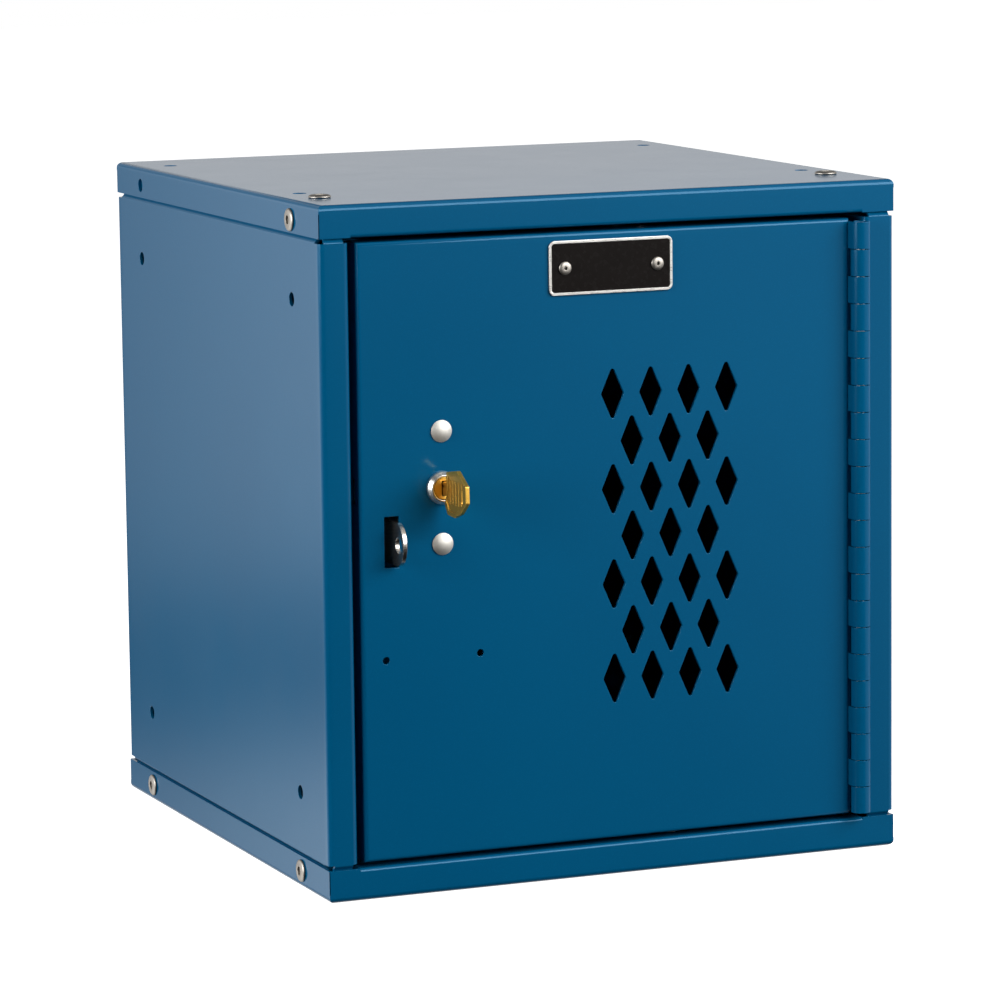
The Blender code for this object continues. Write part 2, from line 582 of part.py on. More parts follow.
def pan(name, is_cap):
    """The cap, or the base, which is the same pan turned over: a plate with a flange all round and an
    inward return along the front flange between the posts. It is made as a cap."""
    low = HEIGHT - PAN_FLANGE
    bm = bmesh.new()
    add_block(bm, (LEFT, FRONT, low), (RIGHT, BACK, HEIGHT))
    open_side = [f for f in bm.faces if f.normal.z < -0.5]
    bmesh.ops.delete(bm, geom=open_side, context="FACES_ONLY")
    rim = [e for e in bm.edges if all(v.co.z > HEIGHT - MM for v in e.verts)]
    bmesh.ops.bevel(bm, geom=rim, offset=BEND, segments=BEND_STEPS, profile=0.5, affect="EDGES")
    ends = (OPENING_LEFT + SILL_END_GAP, OPENING_RIGHT - SILL_END_GAP)
    for x in ends:
        front = [f for f in bm.faces if f.normal.y < -0.99]
        geometry = front + list({e for f in front for e in f.edges})
        bmesh.ops.bisect_plane(bm, geom=geometry, plane_co=(x, 0, 0), plane_no=(1, 0, 0))
    bend_line = low + SILL_BEND
    front = [f for f in bm.faces if f.normal.y < -0.99]
    geometry = front + list({e for f in front for e in f.edges})
    bmesh.ops.bisect_plane(bm, geom=geometry, plane_co=(0, 0, bend_line), plane_no=(0, 0, 1))
    strip = [
        f for f in bm.faces
        if f.normal.y < -0.99
        and f.calc_center_median().z < bend_line
        and ends[0] < f.calc_center_median().x < ends[1]
    ]
    bmesh.ops.delete(bm, geom=strip, context="FACES")
    edge = [
        e for e in bm.edges
        if e.is_boundary
        and all(abs(v.co.z - bend_line) < 1e-6 and v.co.y < FRONT + 1e-6 for v in e.verts)
    ]
    for k in range(1, BEND_STEPS + 2):
        turn = math.radians(min(90, 90 * k / BEND_STEPS))
        extra = SILL_DEPTH - SILL_BEND if k > BEND_STEPS else 0
        y = FRONT + SILL_BEND * (1 - math.cos(turn)) + extra
        z = bend_line - SILL_BEND * math.sin(turn)
        grown = bmesh.ops.extrude_edge_only(bm, edges=edge)["geom"]
        edge = [g for g in grown if isinstance(g, bmesh.types.BMEdge)]
        for vert in {v for e in edge for v in e.verts}:
            vert.co.y, vert.co.z = y, z
    if not is_cap:
        for vert in bm.verts:
            vert.co.z = HEIGHT - vert.co.z
        bmesh.ops.reverse_faces(bm, faces=bm.faces)
    made = piece(name, as_mesh(name, bm), "blue_paint")
    shell = made.modifiers.new("Sheet", "SOLIDIFY")
    shell.thickness = SHEET
    shell.offset = -1
    shell.use_even_offset = True

    cutters = bmesh.new()
    seam_top = HEIGHT - BEND - SHEET
    reach = 3 * SHEET
    for x, y in ((LEFT, FRONT), (RIGHT, FRONT), (LEFT, BACK), (RIGHT, BACK)):
        z0, z1 = (low - 2 * MM, seam_top) if is_cap else (HEIGHT - seam_top, PAN_FLANGE + 2 * MM)
        blade = bmesh.ops.create_cube(cutters, size=1)["verts"]
        shape = Matrix.Diagonal((2 * reach, CORNER_SEAM, z1 - z0, 1))
        corner = Vector((x, y, (z0 + z1) / 2))
        lean = Matrix.Rotation(math.radians(45 if x * y > 0 else -45), 4, "Z")
        bmesh.ops.transform(cutters, matrix=Matrix.Translation(corner) @ lean @ shape, verts=blade)
    for side in (-1, 1):
        wanted = [p for p in side_screw_points(side) if (p[2] > HEIGHT / 2) == is_cap]
        if is_cap:
            wanted.append((side * WIDTH / 2, SIDE_HOLE_Y, HEIGHT - CAP_SCREW_DOWN))
            over = [(side * x, y, HEIGHT) for x, y in (TOP_SCREW_AT, TOP_HOLE_AT, TOP_BACK_AT)]
            add_drills(cutters, over, "+z", SCREW_HOLE_R, 5 * MM)
        add_drills(cutters, wanted, "+x", SCREW_HOLE_R, 5 * MM)
    cut(made, cutters)
    smooth(made)
    return made


def back_panel():
    """A plain plate inside the back flanges, riveted to the side panels' and held by the pans'."""
    outer = BACK - SHEET - JOINT_GAP
    clear_of_fold = BEND + JOINT_GAP
    half = WIDTH / 2 - clear_of_fold
    lift = clear_of_fold
    bm = bmesh.new()
    add_block(bm, (-half, outer - BACK_SHEET, lift), (half, outer, HEIGHT - lift))
    made = piece("back_panel", as_mesh("back_panel", bm), "blue_paint")
    drills = bmesh.new()
    add_drills(drills, back_rivet_points(), "+y", POP_RIVET_R + JOINT_GAP)
    return cut(made, drills)


def back_rivet_points():
    return [(s * BACK_RIVET_X, BACK, z) for s in (-1, 1) for z in BACK_RIVET_Z]


# ---- Fasteners --------------------------------------------------------------------------------
def screw_and_nut(label, head_at, inward):
    """A socket button screw through two sheets, and its nut. The nut's flats face up and down."""
    outward = {"+x": "-x", "-x": "+x", "-z": "+z"}[inward]
    grip = 2 * SHEET + 3 * JOINT_GAP
    length = grip + NUT_THICK + SCREW_BEYOND
    r, h = SCREW_HEAD_R, SCREW_HEAD_H
    dome = [(r * math.cos(math.radians(t)), h * math.sin(math.radians(t))) for t in (30, 62)]
    profile = [
        (0, h), *reversed(dome), (r, 0.0),
        (SCREW_R, 0.0), (SCREW_R, -length), (0, -length),
    ]
    seat = Matrix.Translation(TOWARDS[outward] @ Vector((0, 0, JOINT_GAP)))
    place = seat @ at(*head_at, outward)
    made = turned("screw_" + label, profile, "zinc_steel", place, SMALL_ROUND)
    socket = bmesh.new()
    bmesh.ops.create_cone(
        socket, cap_ends=True, segments=6, radius1=SCREW_SOCKET_R, radius2=SCREW_SOCKET_R,
        depth=2 * SCREW_SOCKET_DEPTH, matrix=Matrix.Translation((0, 0, h)),
    )
    cut(made, socket, matrix=place)

    bm = bmesh.new()
    turn = Matrix.Rotation(math.radians(30 if inward == "-z" else 0), 4, "Z")
    bmesh.ops.create_cone(
        bm, cap_ends=True, segments=6, depth=NUT_THICK,
        radius1=NUT_HALF_FLATS / math.cos(math.pi / 6),
        radius2=NUT_HALF_FLATS / math.cos(math.pi / 6),
        matrix=turn @ Matrix.Translation((0, 0, -NUT_THICK / 2)),
    )
    below = Matrix.Translation((0, 0, -grip))
    nut = piece("nut_" + label, as_mesh("nut_" + label, bm), "zinc_steel", place @ below)
    bore = bmesh.new()
    add_drills(bore, [(0, 0, 0)], "+z", SCREW_R + NUT_CLEAR, 2 * NUT_THICK)
    cut(nut, bore, matrix=place @ below)
    return made


def body_screws():
    for side, word, inward in ((-1, "left", "+x"), (1, "right", "-x")):
        x, y = TOP_SCREW_AT
        screw_and_nut(f"top_{word}", (side * x, y, HEIGHT), "-z")
        for point in side_screw_points(side):
            level = "cap" if point[2] > HEIGHT / 2 else "base"
            place = "front" if point[1] < 0 else "back"
            screw_and_nut(f"{level}_{word}_{place}", point, inward)


def pop_rivet(name, head_at, outward, grip, finish="zinc_steel"):
    """A blind rivet: a dome with the mandrel's hole, a shank, and its swell on the far side."""
    seat = Matrix.Translation(TOWARDS[outward] @ Vector((0, 0, JOINT_GAP)))
    grip += 2 * JOINT_GAP
    r, h = POP_RIVET_HEAD_R, POP_RIVET_HEAD_H
    profile = [
        (0.0, h - 0.8 * MM), (POP_MANDREL_R, h - 0.6 * MM), (POP_MANDREL_R, h),
        (0.75 * r, 0.7 * h), (r, 0.0), (POP_RIVET_R, 0.0), (POP_RIVET_R, -grip),
        (1.45 * POP_RIVET_R, -grip), (1.2 * POP_RIVET_R, -grip - 1.8 * MM), (0.0, -grip - 1.8 * MM),
    ]
    place = seat @ at(*head_at, outward)
    return turned(name, profile, finish, place, SMALL_ROUND)


def back_rivets():
    words = [f"{level}_{side}" for side in ("left", "right") for level in ("low", "middle", "high")]
    for word, point in zip(words, back_rivet_points()):
        pop_rivet("back_rivet_" + word, point, "+y", SHEET + BACK_SHEET + JOINT_GAP)


# ---- Door -------------------------------------------------------------------------------------
def vent_outline(centre):
    x, z = centre
    half_w, half_h = VENT_WIDTH / 2, VENT_HEIGHT / 2
    reach_w, reach_h = 0.35 * MM, 1.25 * MM      # what the rounding takes off each corner
    corners = [
        (x + half_w + reach_w, z), (x, z + half_h + reach_h),
        (x - half_w - reach_w, z), (x, z - half_h - reach_h),
    ]
    return rounded(corners, VENT_TIP_R)


def vent_centres():
    centres = []
    for k, count in enumerate(VENT_ROWS):
        z = VENT_CENTRE[1] + (len(VENT_ROWS) - 1 - 2 * k) / 2 * VENT_PITCH_Z
        centres += [
            (VENT_CENTRE[0] + (i - (count - 1) / 2) * VENT_PITCH_X, z) for i in range(count)
        ]
    return centres


def door_pan():
    """A shallow pan with its flanges turned back, cut for the vents, lock, hasp, plate and label."""
    bm = bmesh.new()
    add_block(bm, (DOOR_LEFT, FRONT, DOOR_BOTTOM), (DOOR_RIGHT, FRONT + DOOR_FLANGE, DOOR_TOP))
    open_side = [f for f in bm.faces if f.normal.y > 0.5]
    bmesh.ops.delete(bm, geom=open_side, context="FACES_ONLY")
    rim = [e for e in bm.edges if all(v.co.y < FRONT + MM for v in e.verts)]
    bmesh.ops.bevel(bm, geom=rim, offset=DOOR_BEND, segments=BEND_STEPS, profile=0.5,
                    affect="EDGES")
    made = piece("door_pan", as_mesh("door_pan", bm), "blue_paint")
    shell = made.modifiers.new("Sheet", "SOLIDIFY")
    shell.thickness = SHEET
    shell.offset = -1
    shell.use_even_offset = True

    vents = outline_mesh("door_vents", [vent_outline(c) for c in vent_centres()], 8 * MM)
    cut(made, vents, matrix=Matrix.Translation((0, DOOR_INSIDE, 0)) @ PLANE_XZ)

    cutters = bmesh.new()
    for x, z in ((DOOR_LEFT, DOOR_BOTTOM), (DOOR_RIGHT, DOOR_BOTTOM), (DOOR_LEFT, DOOR_TOP),
                 (DOOR_RIGHT, DOOR_TOP)):
        start, end = FRONT + DOOR_BEND + CORNER_SEAM, FRONT + DOOR_FLANGE + 2 * MM
        blade = bmesh.ops.create_cube(cutters, size=1)["verts"]
        shape = Matrix.Diagonal((6 * SHEET, end - start, CORNER_SEAM, 1))
        rising = (x < 0) == (z < HEIGHT / 2)
        lean = Matrix.Rotation(math.radians(-45 if rising else 45), 4, "Y")
        corner = Matrix.Translation((x, (start + end) / 2, z))
        bmesh.ops.transform(cutters, matrix=corner @ lean @ shape, verts=blade)
    add_drills(cutters, [(LOCK_X, FRONT, LOCK_Z)], "+y", BEZEL_BARREL_R + JOINT_GAP, 5 * MM, ROUND)
    add_drills(cutters, lock_rivet_points(), "+y", LOCK_RIVET_R + JOINT_GAP, 5 * MM)
    add_drills(cutters, plate_rivet_points(), "+y", POP_RIVET_R + JOINT_GAP, 5 * MM)
    label_holes = [(x, FRONT, LOCK_Z - LABEL_HOLE_DOWN) for x in LABEL_HOLE_X]
    add_drills(cutters, label_holes, "+y", LABEL_HOLE_R, 5 * MM)
    add_block(cutters, (HASP_SLOT[0], FRONT - 4 * MM, HASP_SLOT_Z[0]),
              (HASP_SLOT[1], FRONT + 5 * MM, HASP_SLOT_Z[1]))
    half = BOLT_TONGUE / 2 + BOLT_CLEAR
    add_block(cutters, (DOOR_LEFT - 2 * MM, BOLT_FRONT - BOLT_CLEAR, LOCK_Z - half),
              (DOOR_LEFT + 3 * MM, BOLT_BACK + BOLT_CLEAR, LOCK_Z + half))
    cut(made, cutters)
    smooth(made)
    return made


def lock_rivet_points():
    return [(LOCK_X, FRONT, LOCK_Z + s * LOCK_RIVET_PITCH / 2) for s in (1, -1)]


def plate_rivet_points():
    x, z = PLATE_MIDDLE
    return [(x + s * PLATE_RIVET_PITCH / 2, FRONT, z) for s in (-1, 1)]


def nameplate():
    """A plain plate with nothing on it."""
    x, z = PLATE_MIDDLE
    signs = ((-1, -1), (1, -1), (1, 1), (-1, 1))
    corners = [(x + a * PLATE_WIDTH / 2, z + b * PLATE_HEIGHT / 2) for a, b in signs]
    outlines = [rounded(corners, PLATE_CORNER_R, 4)]
    for x, _, z in plate_rivet_points():
        outlines.append(circle((x, z), POP_RIVET_R + JOINT_GAP, SMALL_ROUND))
    place = Matrix.Translation((0, FRONT - JOINT_GAP - PLATE_SHEET / 2, 0)) @ PLANE_XZ
    piece("nameplate", outline_mesh("nameplate", outlines, PLATE_SHEET), "black_plate", place)
    seat = FRONT - JOINT_GAP - PLATE_SHEET
    for word, (x, _, z) in zip(("left", "right"), plate_rivet_points()):
        pop_rivet(f"nameplate_rivet_{word}", (x, seat, z), "-y", PLATE_SHEET + JOINT_GAP + SHEET)


# ---- Hinge ------------------------------------------------------------------------------------
def leaf_outline():
    """The door leaf in plan, about the pin: a straight leaf behind the barrel and its rolled knuckle."""
    inner = BARREL_R - LEAF_SHEET
    end = HINGE_Y - (FRONT + LEAF_DEPTH)
    outer_roll = arc((0, 0), BARREL_R, 180, 180 + ROLL_TURN, ROLL_STEPS)
    inner_roll = arc((0, 0), inner, 180 + ROLL_TURN, 180, ROLL_STEPS)
    return [(-BARREL_R, -end), *outer_roll, *inner_roll, (-inner, -end)]


def hinge_levels():
    """The height of every seam between knuckles, bottom to top."""
    low, high = PAN_FLANGE + HINGE_END_GAP, HEIGHT - PAN_FLANGE - HINGE_END_GAP
    return [low + (high - low) * k / KNUCKLES for k in range(KNUCKLES + 1)]


def hinge_leaf(name, is_door):
    levels = hinge_levels()
    length = levels[-1] - levels[0]
    outline = leaf_outline()
    if not is_door:
        outline = [(-x, y) for x, y in reversed(outline)]
    middle = (levels[0] + levels[-1]) / 2
    place = Matrix.Translation((HINGE_X, HINGE_Y, middle)) @ PLANE_XY
    made = piece(name, outline_mesh(name, [outline], length), "blue_paint", place)
    notches = bmesh.new()
    reach = BARREL_R + KNUCKLE_CLEAR
    for k in range(KNUCKLES):
        if (k % 2 == 0) == is_door:
            low = levels[k] - (KNUCKLE_GAP / 2 if k else MM)
            high = levels[k + 1] + (KNUCKLE_GAP / 2 if k < KNUCKLES - 1 else MM)
            add_block(notches, (HINGE_X - reach, HINGE_Y - reach, low),
                      (HINGE_X + reach, HINGE_Y + reach, high))
    cut(made, notches)
    smooth(made)
    return made


def hinge_pin():
    levels = hinge_levels()
    low, high = levels[0] + 0.4 * MM, levels[-1] - 0.4 * MM
    bm = bmesh.new()
    add_drum(bm, (HINGE_X, HINGE_Y, low), "+z", PIN_R, high - low, SMALL_ROUND)
    made = piece("hinge_pin", as_mesh("hinge_pin", bm), "zinc_steel")
    smooth(made)
    return made


# ---- Lock -------------------------------------------------------------------------------------
def lock_case():
    """A box behind the door, open at the back, with a way out for the bolt."""
    low = (LOCK_X - CASE_LEFT, CASE_FRONT, LOCK_Z - CASE_HEIGHT / 2)
    high = (LOCK_X + CASE_RIGHT, CASE_BACK, LOCK_Z + CASE_HEIGHT / 2)
    bm = bmesh.new()
    add_block(bm, low, high)
    made = piece("lock_case", as_mesh("lock_case", bm), "zinc_steel")
    cutters = bmesh.new()
    wall = Vector((CASE_WALL, CASE_WALL, CASE_WALL))
    add_block(cutters, Vector(low) + wall,
              (high[0] - CASE_WALL, high[1] + 2 * MM, high[2] - CASE_WALL))
    cut(made, cutters)
    holes = bmesh.new()
    add_drills(holes, [(LOCK_X, CASE_FRONT, LOCK_Z)], "+y", BEZEL_BARREL_R + JOINT_GAP, 3 * MM,
               ROUND)
    rivets = [(x, CASE_FRONT, z) for x, _, z in lock_rivet_points()]
    add_drills(holes, rivets, "+y", LOCK_RIVET_R + JOINT_GAP, 3 * MM)
    half = BOLT_TONGUE / 2 + BOLT_CLEAR
    add_block(holes, (low[0] - 2 * MM, BOLT_FRONT - BOLT_CLEAR, LOCK_Z - half),
              (low[0] + 3 * MM, BOLT_BACK + BOLT_CLEAR, LOCK_Z + half))
    return cut(made, holes)


def lock_cover():
    corners = [
        (LOCK_X - CASE_LEFT, LOCK_Z - CASE_HEIGHT / 2),
        (LOCK_X + CASE_RIGHT, LOCK_Z - CASE_HEIGHT / 2),
        (LOCK_X + CASE_RIGHT, LOCK_Z + CASE_HEIGHT / 2),
        (LOCK_X - CASE_LEFT, LOCK_Z + CASE_HEIGHT / 2),
    ]
    outlines = [rounded(corners, 2 * MM)]
    for x, _, z in lock_rivet_points():
        outlines.append(circle((x, z), LOCK_RIVET_R + JOINT_GAP, SMALL_ROUND))
    place = Matrix.Translation((0, COVER_FRONT + COVER_SHEET / 2, 0)) @ PLANE_XZ
    mesh = outline_mesh("lock_cover", outlines, COVER_SHEET)
    return piece("lock_cover", mesh, "zinc_steel", place)


def lock_bezel():
    """The ring round the plug, with a barrel through the door and the case."""
    bore = BORE_R
    seat = JOINT_GAP
    end = -(CASE_FRONT + CASE_WALL - FRONT)
    profile = [
        (bore, BEZEL_PROUD), (bore + 0.9 * MM, BEZEL_PROUD), (BEZEL_R - 0.6 * MM, 0.62 * BEZEL_PROUD),
        (BEZEL_R, 0.3 * BEZEL_PROUD), (BEZEL_R, seat), (BEZEL_BARREL_R, seat),
        (BEZEL_BARREL_R, end), (bore, end),
    ]
    return turned("lock_bezel", profile, "nickel", at(LOCK_X, FRONT, LOCK_Z, "-y"), ROUND, True)


def lock_rivets():
    tail = COVER_FRONT + COVER_SHEET + JOINT_GAP - FRONT
    r, h = LOCK_RIVET_HEAD_R, LOCK_RIVET_HEAD_H
    dome = [(r * math.sin(math.radians(t)), h * math.cos(math.radians(t))) for t in (25, 50, 72)]
    profile = [
        (0, h + JOINT_GAP), *[(a, b + JOINT_GAP) for a, b in dome], (r, JOINT_GAP),
        (LOCK_RIVET_R, JOINT_GAP), (LOCK_RIVET_R, -tail),
        (1.6 * LOCK_RIVET_R, -tail), (1.6 * LOCK_RIVET_R, -tail - 1.2 * MM), (0, -tail - 1.5 * MM),
    ]
    for word, point in zip(("upper", "lower"), lock_rivet_points()):
        turned(f"lock_rivet_{word}", profile, "nickel", at(*point, "-y"), ROUND)


def lock_plug(parent):
    """The plug, its cam with the drive pin, and its tail, with the keyway right through."""
    front = FRONT - PLUG_PROUD
    bm = bmesh.new()
    add_drum(bm, (LOCK_X, front, LOCK_Z), "+y", PLUG_R, CAM_FRONT + CAM_SHEET / 2 - front, ROUND)
    made = piece("lock_plug", as_mesh("lock_plug", bm), "brass")
    cam = bmesh.new()
    add_drum(cam, (LOCK_X, CAM_FRONT, LOCK_Z), "+y", CAM_R, CAM_SHEET, ROUND)
    cut(made, cam, "UNION")
    tail = bmesh.new()
    start = CAM_FRONT + CAM_SHEET / 3
    add_drum(tail, (LOCK_X, start, LOCK_Z), "+y", TAIL_R, TAIL_END - start, ROUND)
    corner = math.radians(45)
    pin_x = LOCK_X + CAM_PIN_ORBIT * math.sin(corner)
    pin_z = LOCK_Z - CAM_PIN_ORBIT * math.cos(corner)
    add_drum(tail, (pin_x, start, pin_z), "+y", CAM_PIN_R, BOLT_BACK + 0.4 * MM - start, 12)
    cut(made, tail, "UNION")
    keyway = bmesh.new()
    half_x, half_z = KEY_SHEET / 2 + KEY_CLEAR, KEY_BLADE / 2 + KEY_CLEAR
    add_block(keyway, (LOCK_X - half_x, front - MM, LOCK_Z - half_z),
              (LOCK_X + half_x, TAIL_END + MM, LOCK_Z + half_z))
    cut(made, keyway)
    smooth(made)
    hold(made, parent)
    return made


def lock_bolt(parent):
    """A flat bolt with a window round the plug's tail and a slot for the cam's pin."""
    clear = BOLT_WINDOW
    pin_at = LOCK_X + BOLT_THROW / 2
    slot = CAM_PIN_R + BOLT_CLEAR
    body_left, body_right = LOCK_X - BOLT_BODY_LEFT, LOCK_X + BOLT_BODY_RIGHT
    tip = DOOR_LEFT + BOLT_TIP_INSET
    half = BOLT_TONGUE / 2
    foot = CAM_PIN_ORBIT + CAM_PIN_R + BOLT_CLEAR
    top, bottom = LOCK_Z + clear + BOLT_TOP_RIM, LOCK_Z - foot - BOLT_RIGHT_RIM
    outer = [
        (tip, LOCK_Z - half), (body_left, LOCK_Z - half), (body_left, bottom),
        (body_right, bottom), (body_right, top), (body_left, top), (body_left, LOCK_Z + half),
        (tip, LOCK_Z + half),
    ]
    left, right = LOCK_X - clear, LOCK_X + BOLT_THROW + clear
    hole = [
        (left, LOCK_Z - clear), (pin_at - slot, LOCK_Z - clear), (pin_at - slot, LOCK_Z - foot),
        (pin_at + slot, LOCK_Z - foot), (pin_at + slot, LOCK_Z - clear), (right, LOCK_Z - clear),
        (right, LOCK_Z + clear), (left, LOCK_Z + clear),
    ]
    place = Matrix.Translation((0, (BOLT_FRONT + BOLT_BACK) / 2, 0)) @ PLANE_XZ
    mesh = outline_mesh("lock_bolt", [outer, hole], BOLT_SHEET)
    made = piece("lock_bolt", mesh, "zinc_steel", place)
    hold(made, parent)
    return made


def key(parent):
    """A flat key in the plug: a faceted bow with a ring slot, and a blade with its bitting."""
    half = KEY_BLADE / 2
    neck = FRONT - KEY_NECK_Y
    tip = TAIL_END - KEY_TIP_INSET
    pitch = (tip - DOOR_INSIDE) / len(KEY_CUTS)
    blade = [(neck, LOCK_Z + half), (tip - 2 * MM, LOCK_Z + half), (tip, LOCK_Z)]
    for k, depth in enumerate(KEY_CUTS):
        blade.append((tip - (k + 0.35) * pitch, LOCK_Z - half + depth * MM))
        blade.append((tip - (k + 0.75) * pitch, LOCK_Z - half + 0.3 * MM))
    blade.append((neck, LOCK_Z - half))
    bow = [(FRONT - y * MM, LOCK_Z + z * MM) for y, z in KEY_BOW]
    outline = blade[::-1] + bow
    (y0, z0), (y1, z1) = KEY_RING_SLOT
    ring = [(FRONT - y1 * MM, LOCK_Z + z0 * MM), (FRONT - y0 * MM, LOCK_Z + z0 * MM),
            (FRONT - y0 * MM, LOCK_Z + z1 * MM), (FRONT - y1 * MM, LOCK_Z + z1 * MM)]
    place = Matrix.Translation((LOCK_X, 0, 0)) @ PLANE_YZ
    made = piece("key", outline_mesh("key", [outline, ring], KEY_SHEET), "brass", place)
    hold(made, parent)
    return made


# ---- Padlock hasp and bumpers -----------------------------------------------------------------
def hasp_rivet_points():
    x = OPENING_LEFT + STRIKE_WIDTH / 2
    levels = (HASP_Z[0] + HASP_RIVET_INSET, HASP_Z[1] - HASP_RIVET_INSET)
    return [(x, STRIKE_FACE, z) for z in levels]


def bumper_points():
    x = DOOR_LEFT + SHEET + JOINT_GAP
    return [(x, STRIKE_FACE, z) for z in BUMPER_Z]


def padlock_hasp():
    """An angle riveted behind the strike flange, whose eye comes out through the door's slot."""
    foot_front = STRIKE_FACE + SHEET + JOINT_GAP
    foot_back = foot_front + HASP_SHEET
    low, high = HASP_Z
    middle = HASP_MIDDLE_Z
    tip = FRONT - HASP_PROUD
    radius = (high - low) / 2
    round_start = tip + radius * 0.86
    nose = arc((round_start, middle), 1.0, 90, 270, 10)
    nose = [(round_start + (y - round_start) * radius * 0.86, middle + (z - middle) * radius)
            for y, z in nose]
    outline = [(foot_back, low), (foot_back, high), *nose]
    eye = circle((FRONT - HASP_EYE_Y, middle), HASP_EYE_R, SMALL_ROUND)
    place = Matrix.Translation((HASP_X, 0, 0)) @ PLANE_YZ
    made = piece("padlock_hasp", outline_mesh("padlock_hasp", [outline, eye], HASP_SHEET),
                 "zinc_steel", place)
    foot = bmesh.new()
    add_block(foot, (OPENING_LEFT + HASP_FOOT_GAP, foot_front, low + 0.2 * MM),
              (HASP_X, foot_back - 0.1 * MM, high - 0.2 * MM))
    cut(made, foot, "UNION")
    drills = bmesh.new()
    add_drills(drills, hasp_rivet_points(), "+y", HASP_RIVET_R + JOINT_GAP)
    cut(made, drills)
    smooth(made)

    grip = foot_back - STRIKE_FACE + JOINT_GAP
    r = HASP_RIVET_HEAD_R
    profile = [
        (0, 1.0 * MM), (0.7 * r, 0.8 * MM), (r, 0.0), (HASP_RIVET_R, 0.0), (HASP_RIVET_R, -grip),
        (0.8 * r, -grip), (0.8 * r, -grip - 1.0 * MM), (0, -grip - 1.2 * MM),
    ]
    for word, (x, y, z) in zip(("lower", "upper"), hasp_rivet_points()):
        turned(f"hasp_rivet_{word}", profile, "zinc_steel", at(x, y - JOINT_GAP, z, "-y"),
               SMALL_ROUND)
    return made


def bumpers():
    """Rubber buttons on the strike flange, behind the door's edge."""
    grip = SHEET + 2 * JOINT_GAP
    r = BUMPER_R
    profile = [
        (0, BUMPER_THICK), (0.75 * r, BUMPER_THICK), (r, 0.6 * BUMPER_THICK), (r, 0.0),
        (0.5 * r, 0.0), (0.5 * r, -grip), (0.62 * r, -grip), (0.45 * r, -grip - 2 * MM),
        (0, -grip - 2 * MM),
    ]
    for word, (x, y, z) in zip(("lower", "upper"), bumper_points()):
        turned(f"door_bumper_{word}", profile, "black_rubber", at(x, y - JOINT_GAP, z, "-y"),
               SMALL_ROUND)


# ---- Assembly ---------------------------------------------------------------------------------
def pivot(name, place):
    empty = bpy.data.objects.new(name, None)
    empty.empty_display_size = 0.02
    empty.location = place
    CABINET.objects.link(empty)
    return empty


def hold(part, parent):
    """Parents a part to a pivot, where it is."""
    bpy.context.view_layer.update()
    world = part.matrix_world.copy()
    part.parent = parent
    part.matrix_parent_inverse = parent.matrix_world.inverted()
    part.matrix_world = world


def build():
    door_pivot = pivot("door_pivot", (HINGE_X, HINGE_Y, HEIGHT / 2))
    plug_pivot = pivot("plug_pivot", (LOCK_X, FRONT, LOCK_Z))
    hold(plug_pivot, door_pivot)

    pan("top_cap", True)
    pan("base_pan", False)
    side_panel("left_side_panel", LEFT_POST, LEFT_RETURN, True, False)
    side_panel("right_side_panel", RIGHT_POST, RIGHT_RETURN, False, True)
    back_panel()
    back_rivets()
    body_screws()
    padlock_hasp()
    bumpers()
    hinge_leaf("hinge_frame_leaf", False)
    hinge_pin()

    on_cabinet = set(CABINET.objects)
    door_pan()
    nameplate()
    hinge_leaf("hinge_door_leaf", True)
    lock_case()
    lock_cover()
    lock_bezel()
    lock_rivets()
    for part in set(CABINET.objects) - on_cabinet:
        hold(part, door_pivot)
    lock_bolt(door_pivot)
    lock_plug(plug_pivot)
    key(plug_pivot)


for old in list(bpy.data.objects):
    bpy.data.objects.remove(old)
CABINET = collection("box_locker")
CUTTERS = collection("cutters")
build()
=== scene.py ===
"""Finished surfaces of a single box locker, built around its packed working model.

Lengths are in metres. The model's frame has its origin at the middle of the underside, +X to the
right seen from the front, -Y out of the front and +Z up.
"""

import math

import bmesh
import bpy
from bpy.props import FloatProperty, FloatVectorProperty, IntProperty, PointerProperty
from mathutils import Matrix, Vector


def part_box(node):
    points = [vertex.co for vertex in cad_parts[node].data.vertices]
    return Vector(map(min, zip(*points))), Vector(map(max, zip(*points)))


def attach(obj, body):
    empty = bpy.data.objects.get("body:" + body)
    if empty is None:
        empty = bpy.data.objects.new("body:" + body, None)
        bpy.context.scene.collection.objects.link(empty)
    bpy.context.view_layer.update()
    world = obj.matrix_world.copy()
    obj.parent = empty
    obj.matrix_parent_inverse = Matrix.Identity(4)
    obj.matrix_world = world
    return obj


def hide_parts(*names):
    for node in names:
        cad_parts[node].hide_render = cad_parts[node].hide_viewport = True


bl_info = {
    "name": "Box Locker",
    "version": (1, 0, 0),
    "blender": (4, 5, 0),
    "location": "View3D > Sidebar > Locker",
    "description": "Builds the finished surfaces of a small folded steel locker",
    "category": "Add Mesh",
}

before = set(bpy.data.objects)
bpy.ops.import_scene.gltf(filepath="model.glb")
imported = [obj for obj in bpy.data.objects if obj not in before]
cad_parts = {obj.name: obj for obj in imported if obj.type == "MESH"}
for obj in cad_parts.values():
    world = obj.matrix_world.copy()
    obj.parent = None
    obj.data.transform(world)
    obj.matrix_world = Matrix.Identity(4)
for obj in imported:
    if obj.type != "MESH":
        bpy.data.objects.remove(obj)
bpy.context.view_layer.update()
MM = 0.001


def middle(node):
    """The middle of a working piece."""
    low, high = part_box(node)
    return (low + high) / 2


